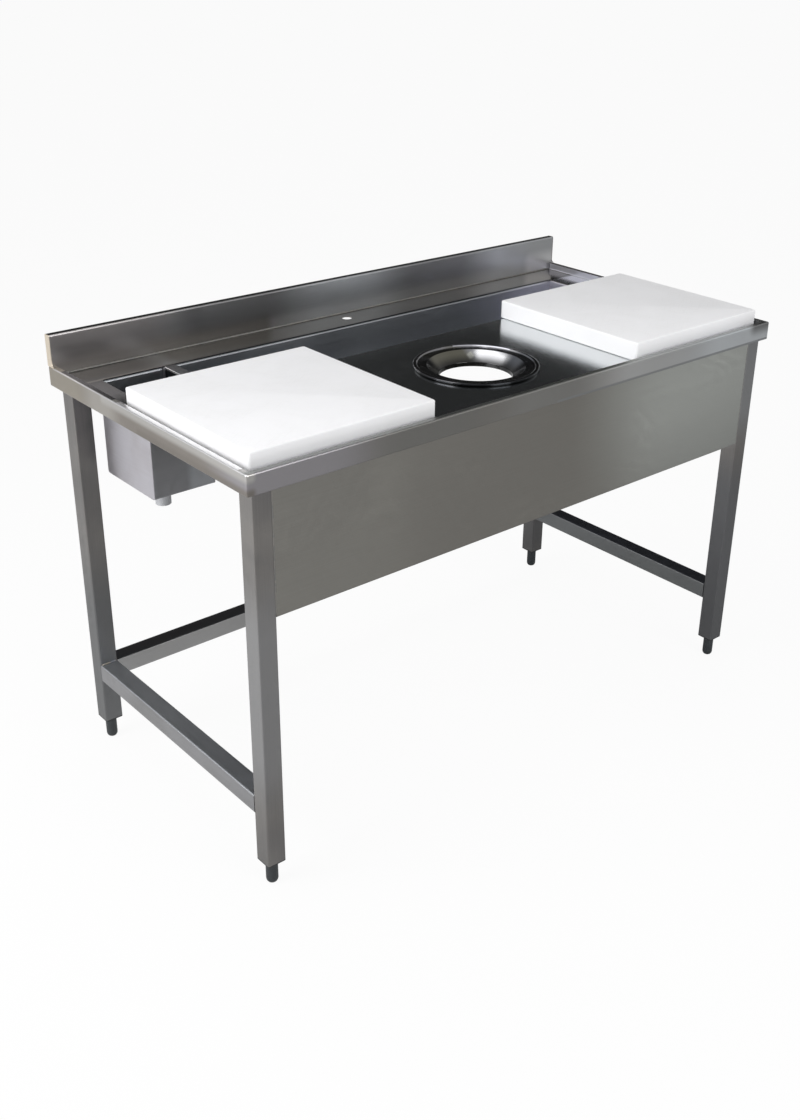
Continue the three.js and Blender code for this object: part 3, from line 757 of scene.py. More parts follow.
def draw_block(name: str, low: Sequence[float], high: Sequence[float]) -> Object:
    """Adds a block between two corners, ready to be shaped.

    Args:
        name: the piece's name.
        low: its lowest corner.
        high: its highest corner.

    Returns:
        The block.
    """
    deselect_all()
    lowest, highest = Vector(low), Vector(high)
    bpy.ops.mesh.primitive_cube_add(size=1.0, location=(lowest + highest) / 2)
    piece = bpy.context.active_object
    call(piece, name)
    piece.scale = highest - lowest
    settle(piece)
    return piece


def round_upright_edges(piece: Object, radius: float, segments: int) -> None:
    """Rounds the upright edges of a block.

    Args:
        piece: the block.
        radius: the radius of the corners.
        segments: the faces round each corner.
    """
    pick(piece)
    bpy.ops.object.mode_set(mode="EDIT")
    bpy.ops.mesh.select_mode(type="EDGE")
    bpy.ops.mesh.select_all(action="DESELECT")
    bpy.ops.object.mode_set(mode="OBJECT")
    points = piece.data.vertices
    for edge in piece.data.edges:
        first, second = (points[i].co for i in edge.vertices)
        edge.select = (first - second).to_2d().length < MERGE
    bpy.ops.object.mode_set(mode="EDIT")
    bpy.ops.mesh.bevel(offset=radius, segments=segments)
    bpy.ops.object.mode_set(mode="OBJECT")


def draw_rings(name: str, rings: Sequence[Ring], sides: int, hollow: bool = False) -> Object:
    """Draws a round piece about the Z axis, by extruding one ring after another.

    Args:
        name: the piece's name.
        rings: the radius and height of each ring, going round the section where it is hollow.
        sides: the corners of each ring.
        hollow: whether the last ring joins the first, instead of both being filled.

    Returns:
        The piece.
    """
    deselect_all()
    radius, height = rings[0]
    fill = "NOTHING" if hollow else "NGON"
    bpy.ops.mesh.primitive_circle_add(vertices=sides, radius=radius, location=(0, 0, 0), fill_type=fill)
    piece = bpy.context.active_object
    call(piece, name)
    bpy.ops.object.mode_set(mode="EDIT")
    bpy.ops.mesh.select_all(action="SELECT")
    bpy.ops.transform.translate(value=(0, 0, height))
    for next_radius, next_height in rings[1:]:
        bpy.ops.mesh.extrude_region_move(TRANSFORM_OT_translate={"value": (0, 0, next_height - height)})
        scale = next_radius / radius
        bpy.ops.transform.resize(value=(scale, scale, 1), center_override=(0, 0, next_height))
        radius, height = next_radius, next_height
    bpy.ops.mesh.select_all(action="SELECT")
    bpy.ops.mesh.remove_doubles(threshold=MERGE)
    bpy.ops.mesh.normals_make_consistent(inside=False)
    bpy.ops.object.mode_set(mode="OBJECT")
    return piece


def turn_piece(
    name: str, rings: Sequence[Ring], sides: int, at: Vector, degrees: float = 32.0, hollow: bool = False
) -> Object:
    """Draws a round piece about an upright axis, and smooths it.

    Args:
        name: the piece's name.
        rings: the radius and height of each ring.
        sides: the corners of each ring.
        at: a point on the axis.
        degrees: the largest angle that is smoothed.
        hollow: whether the last ring joins the first.

    Returns:
        The piece.
    """
    piece = draw_rings(name, rings, sides, hollow)
    piece.location = (at.x, at.y, 0.0)
    smooth(piece, degrees)
    return piece


def arc(centre: Ring, radius: Ring, start: float, end: float, steps: int) -> list[Ring]:
    """Gives the points along part of an ellipse, between two angles in degrees."""
    angles = (math.radians(start + (end - start) * i / steps) for i in range(steps + 1))
    return [(centre[0] + radius[0] * math.cos(a), centre[1] + radius[1] * math.sin(a)) for a in angles]


def rounded_line(points: Sequence[Ring], radius: float, steps: int = 5) -> list[Ring]:
    """Rounds the corners of a line.

    Args:
        points: the ends and corners of the line.
        radius: the radius of each corner.
        steps: the steps round a corner.

    Returns:
        The points of the rounded line.
    """
    line = [Vector(point) for point in points]
    rounded = [points[0]]
    for before, corner, after in zip(line, line[1:], line[2:]):
        back, ahead = (before - corner), (after - corner)
        half = back.angle(ahead) / 2
        cut = min(radius / math.tan(half), MOST_CUT * back.length, MOST_CUT * ahead.length)
        first = corner + back.normalized() * cut
        last = corner + ahead.normalized() * cut
        for i in range(steps + 1):
            share = i / steps
            point = first.lerp(corner, share).lerp(corner.lerp(last, share), share)
            rounded.append((point.x, point.y))
    rounded.append(points[-1])
    return rounded


def thick_line(line: Sequence[Ring], thickness: float) -> list[Ring]:
    """Gives a line a thickness, to the left of the way it runs.

    Args:
        line: the points of one face.
        thickness: the thickness of the sheet.

    Returns:
        The outline, there along the line and back along its other face, closed at the start.
    """
    points = [Vector(point) for point in line]
    far = []
    for i, point in enumerate(points):
        before, after = points[max(i - 1, 0)], points[min(i + 1, len(points) - 1)]
        way = (after - before).normalized()
        far.append((point.x - way.y * thickness, point.y + way.x * thickness))
    return [*line, *reversed(far), line[0]]


def copy_at(piece: Object, name: str, move: Sequence[float]) -> Object:
    """Copies a piece to another place, with a mesh of its own.

    Args:
        piece: the piece to copy.
        name: the copy's name.
        move: how far the copy lies from the piece.

    Returns:
        The copy.
    """
    pick(piece)
    bpy.ops.object.duplicate(linked=False)
    made = bpy.context.active_object
    call(made, name)
    made.location = Vector(move)
    settle(made)
    return made


def draw_bead(name: str, radius: float, ripple: float, ripples: int, way: Way) -> Object:
    """Draws a rippled weld bead about the origin.

    Args:
        name: the piece's name.
        radius: the bead's largest radius.
        ripple: the length of one ripple.
        ripples: the number of ripples.
        way: the axis that it lies along.

    Returns:
        The bead.
    """
    half = ripple * ripples / 2
    tip, valley, last_valley, crest = radius * 0.35, radius * 0.82, radius * 0.8, ripple * 0.45
    rings = [(tip, -half - ripple / 2)]
    for i in range(ripples):
        start = i * ripple - half
        rings += [(valley, start), (radius, start + crest)]
    rings += [(last_valley, half), (tip, half + ripple / 2)]
    piece = draw_rings(name, rings, sides=14)
    piece.rotation_euler = way.value
    settle(piece)
    smooth(piece, degrees=50)
    return piece


def node_middle(node: str) -> Vector:
    """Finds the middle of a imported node's box."""
    low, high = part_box(node)
    return (low + high) / 2


def node_levels(node: str) -> Ring:
    """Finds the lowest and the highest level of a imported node."""
    low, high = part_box(node)
    return low.z, high.z


WORKTOP_STEEL = WorktopSteel(
    name="worktop steel", slot="polished_steel",
    colour=(0.275, 0.25, 0.225), second=(0.2, 0.185, 0.17), roughness=0.34,
    deck=(0.5, 0.53, 0.54),
    deck_second=(0.44, 0.47, 0.49),
    deck_roughness=0.15,
    tones=(
        # painted reflections on the front fascia, darker and lighter from left to right
        PaintedLight((-0.6, -0.35, 0.846), (0.1, 0.01, 0.03), 0.15, (0.34, 0.33, 0.35)),
        PaintedLight((0.0, -0.35, 0.846), (0.05, 0.01, 0.03), 0.2, (0.29, 0.29, 0.28)),
        PaintedLight((0.3, -0.35, 0.846), (0.05, 0.01, 0.03), 0.2, (0.6, 0.61, 0.61)),
        PaintedLight((0.65, -0.35, 0.846), (0.12, 0.01, 0.03), 0.2, (0.77, 0.81, 0.84)),
        PaintedLight((-0.3, -0.35, 0.846), (0.05, 0.01, 0.03), 0.2, (0.22, 0.22, 0.21)),
        # painted shade along the front fascia's lower edge
        PaintedLight((0.4, -0.35, 0.829), (0.38, 0.01, 0.002), 0.002, (0.3, 0.31, 0.32), 0.8),
        # painted reflections on the back of the left fascia, a painted highlight along its top and painted
        # shade along its foot
        PaintedLight((-0.7, 0.3, 0.846), (0.01, 0.05, 0.03), 0.1, (0.36, 0.33, 0.28)),
        PaintedLight((-0.7, 0.14, 0.846), (0.01, 0.02, 0.03), 0.07, (0.42, 0.4, 0.37)),
        PaintedLight((-0.7, -0.12, 0.861), (0.01, 0.25, 0.003), 0.012, (0.5, 0.49, 0.47)),
        PaintedLight((-0.7, -0.2, 0.83), (0.01, 0.2, 0.003), 0.012, (0.22, 0.2, 0.18)),
        # painted reflections on the front rim's top
        PaintedLight((-0.4, -0.342, 0.866), (0.3, 0.004, 0.001), 0.003, (0.32, 0.33, 0.32)),
        PaintedLight((0.08, -0.342, 0.866), (0.18, 0.004, 0.001), 0.003, (0.24, 0.25, 0.23)),
        PaintedLight((0.5, -0.342, 0.866), (0.24, 0.004, 0.001), 0.003, (0.36, 0.37, 0.37)),
        # a painted dark reflection on the left rim's top at the back, and painted highlights on its inner
        # and outer folds
        PaintedLight((-0.692, 0.2, 0.866), (0.004, 0.1, 0.001), 0.003, (0.05, 0.05, 0.06), 0.95),
        PaintedLight((-0.691, -0.12, 0.866), (0.006, 0.2, 0.001), 0.003, (0.95, 0.95, 0.96), 0.95),
        PaintedLight((-0.6995, -0.01, 0.8658), (0.001, 0.34, 0.001), 0.0015, (0.7, 0.7, 0.71), 0.95),
        # painted shade along the edge of the trough's opening
        PaintedLight((0.0, 0.252, 0.849), (0.66, 0.003, 0.0015), 0.002, (0.07, 0.07, 0.074)),
        # a painted reflection on the right rim's inner face, and painted dark reflections on the right rim's
        # top and front right corner
        PaintedLight((0.688, 0.2, 0.858), (0.002, 0.14, 0.006), 0.003, (0.74, 0.74, 0.82)),
        PaintedLight((0.695, 0.0, 0.8662), (0.006, 0.34, 0.0008), 0.001, (0.05, 0.05, 0.055), 0.95),
        PaintedLight((0.68, -0.33, 0.866), (0.03, 0.03, 0.001), 0.03, (0.2, 0.2, 0.2)),
    ),
    deck_tones=(
        # painted reflections on the ledge behind the trough, darker to the left
        PaintedLight((0.15, 0.3, 0.85), (0.6, 0.04, 0.01), 0.04, (0.21, 0.2, 0.18), 0.95),
        PaintedLight((0.0, 0.3, 0.85), (0.1, 0.04, 0.01), 0.1, (0.15, 0.145, 0.135)),
        PaintedLight((0.5, 0.3, 0.85), (0.1, 0.04, 0.01), 0.1, (0.26, 0.24, 0.22)),
        PaintedLight((-0.65, 0.3, 0.85), (0.1, 0.03, 0.01), 0.15, (0.06, 0.055, 0.05), 0.95),
        # a painted dark reflection at the deck's left end
        PaintedLight((-0.68, 0.1, 0.85), (0.05, 0.14, 0.01), 0.06, (0.018, 0.019, 0.024), 0.95),
        # painted reflections on the deck beside the right board and behind it
        PaintedLight((0.25, -0.14, 0.85), (0.02, 0.2, 0.01), 0.04, (0.72, 0.74, 0.75)),
        PaintedLight((0.65, 0.16, 0.85), (0.03, 0.08, 0.01), 0.012, (0.96, 0.96, 1.0), 0.95),
        # painted shade along the edge of the trough's opening
        PaintedLight((0.0, 0.2545, 0.8495), (0.7, 0.002, 0.0015), 0.003, (0.15, 0.145, 0.135), 0.95),
    ),
)
SHEET_STEEL = BrushedSteel(
    name="upstand steel", slot="brushed_steel",
    colour=(0.6, 0.62, 0.64), second=(0.5, 0.51, 0.52), roughness=0.3,
    patch_size=0.3,
    patch_share=0.8,
    depth=0.03,
    warp=0.1,
    wiped=0.01,
    uneven=0.03,
    tones=(
        # painted reflections across the upstand's face, darker and lighter from left to right
        PaintedLight((-0.28, 0.33, 0.89), (0.08, 0.05, 0.06), 0.16, (0.23, 0.225, 0.225)),
        PaintedLight((0.3, 0.33, 0.89), (0.06, 0.05, 0.06), 0.16, (0.29, 0.29, 0.295)),
        PaintedLight((-0.6, 0.33, 0.89), (0.1, 0.05, 0.06), 0.14, (0.42, 0.39, 0.38), 0.85),
        # painted shade low on the upstand's left
        PaintedLight((-0.5, 0.33, 0.86), (0.3, 0.05, 0.005), 0.03, (0.16, 0.15, 0.14), 0.8),
        # a painted highlight at the upstand's right end
        PaintedLight((0.66, 0.33, 0.87), (0.04, 0.05, 0.01), 0.03, (0.85, 0.85, 0.86), 0.8),
        # painted light along the upstand's foot
        PaintedLight((0.0, 0.33, 0.8505), (0.72, 0.01, 0.0015), 0.0015, (0.95, 0.94, 0.92)),
        # painted shade along the upstand's top edge, and a painted dark reflection on its top
        PaintedLight((0.0, 0.331, 0.932), (0.72, 0.001, 0.0015), 0.0015, (0.3, 0.3, 0.31)),
        PaintedLight((-0.5, 0.331, 0.932), (0.25, 0.001, 0.0015), 0.0015, (0.26, 0.26, 0.265)),
        PaintedLight((0.0, 0.343, 0.934), (0.72, 0.007, 0.003), 0.002, (0.03, 0.027, 0.027), 0.95),
    ),
)
CAP_STEEL = BrushedSteel(
    name="upstand cap steel", slot="brushed_steel",
    colour=(0.5, 0.49, 0.47), second=(0.42, 0.41, 0.4), roughness=0.35,
    grain=Grain.ALONG_Y,
    # a painted highlight along the left cap's edge
    tones=(PaintedLight((-0.7, 0.34, 0.89), (0.0008, 0.03, 0.08), 0.0012, (0.84, 0.75, 0.62), 0.98),),
)
APRON_STEEL = BrushedSteel(
    name="apron steel", slot="brushed_steel",
    colour=(0.3, 0.293, 0.27), second=(0.255, 0.248, 0.23), roughness=0.4,
    patch_size=0.35,
    patch_share=0.7,
    tones=(
        # painted reflections on the apron, lighter to the right and along its upper right, darker in the
        # middle
        PaintedLight((0.62, -0.344, 0.75), (0.1, 0.05, 0.1), 0.45, (0.37, 0.385, 0.37), 0.75),
        PaintedLight((-0.1, -0.344, 0.72), (0.1, 0.05, 0.2), 0.35, (0.25, 0.24, 0.22), 0.7),
        PaintedLight((0.55, -0.344, 0.82), (0.15, 0.05, 0.02), 0.35, (0.58, 0.6, 0.57), 0.8),
    ),
)
TROUGH_STEEL = BrushedSteel(
    name="trough steel", slot="trough_steel",
    colour=(0.36, 0.375, 0.395), second=(0.29, 0.3, 0.32), roughness=0.36,
    patch_size=0.25,
    patch_share=0.7,
    warp=0.1,
    tones=(
        # painted shade along the trough's rear edge
        PaintedLight((0.0, 0.255, 0.848), (0.7, 0.006, 0.002), 0.002, (0.06, 0.063, 0.066)),
        # a painted reflection at the trough's right end
        PaintedLight((0.62, 0.25, 0.8), (0.05, 0.05, 0.1), 0.2, (0.56, 0.57, 0.64)),
        # painted shade and a lighter painted strip low at the trough's left end
        PaintedLight((-0.6, 0.064, 0.74), (0.03, 0.004, 0.1), 0.02, (0.25, 0.25, 0.26)),
        PaintedLight((-0.52, 0.064, 0.74), (0.01, 0.004, 0.1), 0.03, (0.37, 0.38, 0.4)),
    ),
)
TROUGH_END_STEEL = BrushedSteel(
    name="trough end steel", slot="trough_steel",
    colour=(0.54, 0.53, 0.57), second=(0.45, 0.43, 0.45), roughness=0.35,
    grain=Grain.ALONG_Y,
    patch_size=0.1,
    # a painted highlight on the right trough end
    tones=(PaintedLight((0.618, 0.18, 0.81), (0.01, 0.1, 0.04), 0.02, (0.93, 0.9, 0.97)),),
)
LEG_STEEL = BrushedSteel(
    name="leg steel", slot="frame_steel",
    colour=(0.25, 0.24, 0.23), second=(0.185, 0.18, 0.18), roughness=0.38,
    grain=Grain.ALONG_Z,
    patch_size=0.16,
    patch_share=0.7,
    tones=(
        # painted light on the front left leg, painted shade low on the rear legs, and painted light high and
        # painted shade low on the front right leg
        PaintedLight((-0.67, -0.32, 0.42), (0.05, 0.05, 0.12), 0.15, (0.3, 0.3, 0.305), 0.85),
        PaintedLight((-0.67, 0.32, 0.2), (0.05, 0.05, 0.12), 0.2, (0.15, 0.155, 0.16), 0.85),
        PaintedLight((0.67, 0.32, 0.4), (0.05, 0.05, 0.3), 0.1, (0.16, 0.16, 0.165), 0.8),
        PaintedLight((0.67, -0.32, 0.74), (0.05, 0.05, 0.06), 0.12, (0.34, 0.35, 0.36), 0.85),
        PaintedLight((0.67, -0.32, 0.25), (0.05, 0.05, 0.2), 0.12, (0.17, 0.175, 0.185), 0.85),
    ),
)
SIDE_RAIL_STEEL = BrushedSteel(
    name="side rail steel", slot="frame_steel",
    colour=(0.3, 0.3, 0.31), second=(0.22, 0.22, 0.22), roughness=0.38,
    grain=Grain.ALONG_Y,
    patch_size=0.16,
    tones=(
        # painted shade on the right rail's inner face, painted light on the left rail's top and painted
        # shade on the right rail's top
        PaintedLight((0.6445, 0.0, 0.178), (0.001, 0.3, 0.016), 0.003, (0.24, 0.25, 0.255)),
        PaintedLight((-0.6645, 0.0, 0.1975), (0.02, 0.3, 0.0006), 0.0015, (0.5, 0.52, 0.55), 0.85),
        PaintedLight((0.666, 0.0, 0.1975), (0.02, 0.3, 0.0006), 0.0015, (0.05, 0.055, 0.07), 0.95),
    ),
)
REAR_RAIL_STEEL = BrushedSteel(
    name="rear rail steel", slot="frame_steel",
    colour=(0.4, 0.4, 0.4), second=(0.32, 0.32, 0.32), roughness=0.38,
    patch_size=0.2,
    # painted shade on the rear rail's top
    tones=(PaintedLight((0.0, 0.3115, 0.1975), (0.65, 0.02, 0.0006), 0.0015, (0.05, 0.05, 0.055), 0.95),),
)
PLATE_STEEL = BrushedSteel(
    name="strainer plate steel", slot="polished_steel",
    colour=(0.18, 0.185, 0.195), second=(0.14, 0.145, 0.15), roughness=0.2,
    grain=Grain.ALONG_Y,
    patch_size=0.08,
    tones=(
        # a painted dark reflection on the plate's flange, and a painted highlight on its left fold
        PaintedLight((-0.487, 0.16, 0.85), (0.014, 0.2, 0.0006), 0.0014, (0.035, 0.037, 0.042), 0.96),
        PaintedLight((-0.5005, 0.16, 0.849), (0.0012, 0.2, 0.002), 0.002, (0.95, 0.96, 1.0), 0.98),
    ),
)
WELD_STEEL = WeldedSteel(
    name="weld steel", slot="frame_steel",
    colour=(0.38, 0.34, 0.27), second=(0.25, 0.27, 0.31), roughness=0.32,
)
BOARD_PLASTIC = CuttingPlastic(
    name="board plastic", slot="board_plastic",
    colour=(0.92, 0.92, 0.935), second=(0.88, 0.88, 0.89), roughness=0.5,
)
SEAM_STEEL = WeldedSteel(
    name="ground seam steel", slot="frame_steel",
    colour=(0.3, 0.29, 0.27), second=(0.24, 0.24, 0.235), roughness=0.42,
)
FOOT_PLASTIC = MouldedPlastic(
    name="foot plastic", slot="foot_plastic",
    colour=(0.02, 0.024, 0.027), second=(0.05, 0.058, 0.064), roughness=0.4,
)
PLUG_PLASTIC = MouldedPlastic(
    name="plug plastic", slot="plug_plastic",
    colour=(0.016, 0.016, 0.018), second=(0.05, 0.05, 0.05), roughness=0.5,
)
PIPE_PLASTIC = MouldedPlastic(
    name="pipe plastic", slot="pipe_plastic",
    colour=(0.45, 0.46, 0.48), second=(0.34, 0.34, 0.35), roughness=0.35,
    depth=0.15,
    scuffs=0.3,
)
SEAL_RUBBER = MouldedPlastic(
    name="seal rubber", slot="seal_rubber",
    colour=(0.012, 0.012, 0.012), second=(0.04, 0.04, 0.04), roughness=0.7,
)
BOLT_STEEL = TurnedSteel(
    name="bolt steel", slot="bolt_steel",
    colour=(0.5, 0.5, 0.51), second=(0.42, 0.42, 0.42), roughness=0.25,
    depth=0.4,
)
SPUN_STEEL = TurnedSteel(
    name="spun steel", slot="spun_steel",
    colour=(0.36, 0.36, 0.38), second=(0.24, 0.24, 0.24), roughness=0.14,
    axis=(*node_middle("chute_ring").xy, 0.0),
    tones=(
        # painted reflections in the cone: dark on the left, olive at the back, painted highlights on the
        # right, darker at the near right
        PaintedLight((-0.08, -0.11, 0.843), (0.03, 0.05, 0.014), 0.02, (0.04, 0.04, 0.04)),
        PaintedLight((0.0, -0.05, 0.843), (0.04, 0.02, 0.014), 0.02, (0.16, 0.153, 0.118)),
        PaintedLight((0.052, -0.063, 0.843), (0.003, 0.003, 0.014), 0.006, (0.6, 0.6, 0.55)),
        PaintedLight((0.078, -0.1, 0.843), (0.012, 0.035, 0.012), 0.012, (0.72, 0.72, 0.74)),
        PaintedLight((0.08, -0.19, 0.843), (0.03, 0.04, 0.014), 0.03, (0.12, 0.13, 0.15)),
        # painted shade in the throat
        PaintedLight((0.0, -0.136, 0.829), (0.09, 0.09, 0.003), 0.017, (0.04, 0.04, 0.04), 0.95),
        # painted dark reflections on the near side and the left of the ring
        PaintedLight((0.0, -0.26, 0.85), (0.13, 0.05, 0.02), 0.03, (0.03, 0.032, 0.035), 0.97),
        PaintedLight((-0.125, -0.17, 0.852), (0.012, 0.06, 0.004), 0.008, (0.06, 0.06, 0.065), 0.95),
        PaintedLight((-0.105, -0.15, 0.853), (0.01, 0.05, 0.004), 0.01, (0.1, 0.1, 0.105)),
        # along the bead's top at the back: dim painted reflection to the left, a painted highlight to the
        # right
        PaintedLight((-0.04, -0.02, 0.8565), (0.05, 0.03, 0.001), 0.002, (0.22, 0.22, 0.23)),
        PaintedLight((0.09, -0.05, 0.8565), (0.05, 0.06, 0.001), 0.002, (0.8, 0.8, 0.88)),
        # painted dark reflections low on the bead's outer wall, in front and at both sides
        PaintedLight((0.0, -0.2425, 0.8507), (0.115, 0.0375, 0.0014), 0.0009, (0.005, 0.005, 0.005), 0.98),
        PaintedLight((-0.124, -0.14, 0.8507), (0.016, 0.08, 0.0014), 0.0009, (0.005, 0.005, 0.005), 0.98),
        PaintedLight((0.124, -0.14, 0.8507), (0.016, 0.08, 0.0014), 0.0009, (0.005, 0.005, 0.005), 0.98),
    ),
)


@dataclass
class SubAssembly(ABC):
    """A group of pieces that is built and dressed together."""

    body: str = "root"

    @abstractmethod
    def build(self) -> None:
        """Builds and dresses the pieces."""

    def dress(self, finish: Finish, *nodes: str) -> None:
        """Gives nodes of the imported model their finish.

        Args:
            finish: the finish.
            *nodes: the nodes' names.
        """
        for node in nodes:
            cover(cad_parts[node], finish)
            LOG.info("%s: dressed in %s", node, finish.name)

    def place(self, piece: Object, finish: Finish, *replaces: str, body: str | None = None) -> None:
        """Gives a new piece its finish and body.

        Args:
            piece: the piece, in its place.
            finish: its finish.
            *replaces: the nodes that it stands for.
            body: the body that it rides on, where it isn't the usual one.
        """
        settle(piece)
        cover(piece, finish)
        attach(piece, body or self.body)
        if replaces:
            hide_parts(*replaces)
        LOG.info("%s: %d faces, rides on %s", piece.name, len(piece.data.polygons), body or self.body)


@dataclass
class Worktop(SubAssembly):
    """The folded worktop with its upstand and the upstand's caps."""

    rim: float = 0.012
    seam_radius: float = 0.0019
    seam_ripple: float = 0.012
    seam_lift: float = 0.0004

    def build(self) -> None:
        """Dresses the sheets and fills the upstand's foot with a ground seam."""
        self.dress(WORKTOP_STEEL, "worktop")
        self.dress(SHEET_STEEL, "upstand")
        self.dress(CAP_STEEL, *(f"upstand_end_{side}" for side in SIDES))
        low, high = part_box("upstand")
        ripples = int((high.x - low.x - 2 * self.rim) / self.seam_ripple) - 1
        seam = draw_bead("upstand_seam", self.seam_radius, self.seam_ripple, ripples, Way.X)
        seam.location = ((low.x + high.x) / 2, low.y, low.z + self.seam_lift)
        self.place(seam, SEAM_STEEL)


@dataclass
class CuttingBoard(SubAssembly):
    """One loose cutting board."""

    side: str = "left"
    corner: float = 0.006
    edge: float = 0.0028

    def build(self) -> None:
        """Rounds a block on its corners and all its edges."""
        node = f"cutting_board_{self.side}"
        piece = draw_block(f"board_{self.side}", *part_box(node))
        round_upright_edges(piece, self.corner, segments=6)
        soften(piece, self.edge, segments=4)
        smooth(piece)
        self.place(piece, BOARD_PLASTIC, node)


@dataclass
class Trough(SubAssembly):
    """The trough and its sump, their ends, and the strainer plate with its guides."""

    def build(self) -> None:
        """Dresses the sheets."""
        ends = [f"trough_end_{side}" for side in SIDES]
        guides = [f"strainer_guide_{side}" for side in ("front", "rear")]
        self.dress(TROUGH_STEEL, "trough_channel", "sump_body")
        self.dress(TROUGH_END_STEEL, "sump_wall", *ends, *guides)
        self.dress(PLATE_STEEL, "strainer_plate")


@dataclass
class WasteChute(SubAssembly):
    """The spun chute ring with its gasket."""

    bead_width: float = 0.007
    bead_slope: float = 0.0025
    bead_height: float = 0.006
    seat_height: float = 0.003
    cone: float = 0.1015
    throat: float = 0.076
    collar: float = 0.009
    fold: float = 0.0022
    sheet: float = 0.0012
    deck_gap: float = 0.0003
    sides: int = 128

    def build(self) -> None:
        """Spins the ring and dresses the gasket."""
        low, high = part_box("chute_ring")
        deck = node_levels("chute_gasket")[0] - self.deck_gap
        bead = (high.x - low.x) / 2
        inside = bead - self.bead_width
        section = [
            (bead, deck + self.deck_gap),
            (bead, deck + self.bead_height),
            (inside, deck + self.bead_height),
            (inside - self.bead_slope, deck + self.seat_height),
            (self.cone, deck + self.seat_height),
            (self.throat, low.z + self.collar),
            (self.throat, low.z),
        ]
        rings = thick_line(rounded_line(section, self.fold), self.sheet)
        middle = node_middle("chute_ring")
        ring = turn_piece("spun_chute_ring", rings, self.sides, middle, degrees=40, hollow=True)
        self.place(ring, SPUN_STEEL, "chute_ring")
        self.dress(SEAL_RUBBER, "chute_gasket")


@dataclass
class WasteFitting(SubAssembly):
    """The waste fitting in the floor of the sump."""

    pipe: float = 0.016
    collar: float = 0.0257
    wall: float = 0.0024
    shoulder: float = 0.012
    neck: float = 0.022
    lip: float = 0.0008
    bend: float = 0.002
    nut: float = 0.032
    nut_edge: float = 0.0006
    lug: Ring = (0.0036, 0.0035)
    lug_seat: float = 0.98
    lugs: int = 8
    sides: int = 64

    def build(self) -> None:
        """Turns the pipe and the nut, and dresses the rest."""
        self.dress(PLATE_STEEL, "waste_strainer")
        self.dress(BOLT_STEEL, "waste_screw")
        self.dress(SEAL_RUBBER, "waste_washer")
        middle = node_middle("waste_tailpiece")
        self.place(self.tailpiece(middle), PIPE_PLASTIC, "waste_tailpiece")
        self.place(self.locking_nut(middle), PIPE_PLASTIC, "waste_nut")

    def tailpiece(self, middle: Vector) -> Object:
        """Turns the tailpiece: a pipe with a wider collar on top.

        Args:
            middle: the middle of the fitting.

        Returns:
            The piece.
        """
        low, high = node_levels("waste_tailpiece")
        bore, collar_bore = self.pipe - self.wall, self.collar - self.wall
        shoulder, neck = high - self.shoulder, high - self.neck
        rings = [
            (bore, low),
            (self.pipe - self.lip, low),
            (self.pipe, low + self.lip),
            (self.pipe, neck),
            *arc((self.collar - self.bend, shoulder), (self.bend, self.bend), -60, 0, 4),
            (self.collar, high - self.lip),
            (self.collar - self.lip, high),
            (collar_bore, high),
            (collar_bore, shoulder),
            (bore, neck),
            (bore, low),
        ]
        return turn_piece("waste_pipe", rings, self.sides, middle, hollow=True)

    def locking_nut(self, middle: Vector) -> Object:
        """Draws the lock nut with its lugs.

        Args:
            middle: the middle of the fitting.

        Returns:
            The piece.
        """
        low, high = node_levels("waste_nut")
        bore = self.collar - self.wall
        rings = [(bore, low), (self.nut, low), (self.nut, high), (bore, high), (bore, low)]
        parts = [draw_rings("nut_ring", rings, self.sides, hollow=True)]
        along, across = self.lug
        for i in range(self.lugs):
            lug = draw_block(f"nut_lug_{i}", (-along, -across, low), (along, across, high))
            turn = 2 * math.pi * i / self.lugs
            lug.rotation_euler.z = turn
            seat = self.nut * self.lug_seat
            lug.location = (seat * math.cos(turn), seat * math.sin(turn), 0.0)
            settle(lug)
            parts.append(lug)
        piece = parts[0]
        pick(piece)
        for part in parts:
            part.select_set(True)
        bpy.ops.object.join()
        call(piece, "waste_lock_nut")
        soften(piece, self.nut_edge, segments=2)
        piece.location = (middle.x, middle.y, 0.0)
        smooth(piece)
        return piece


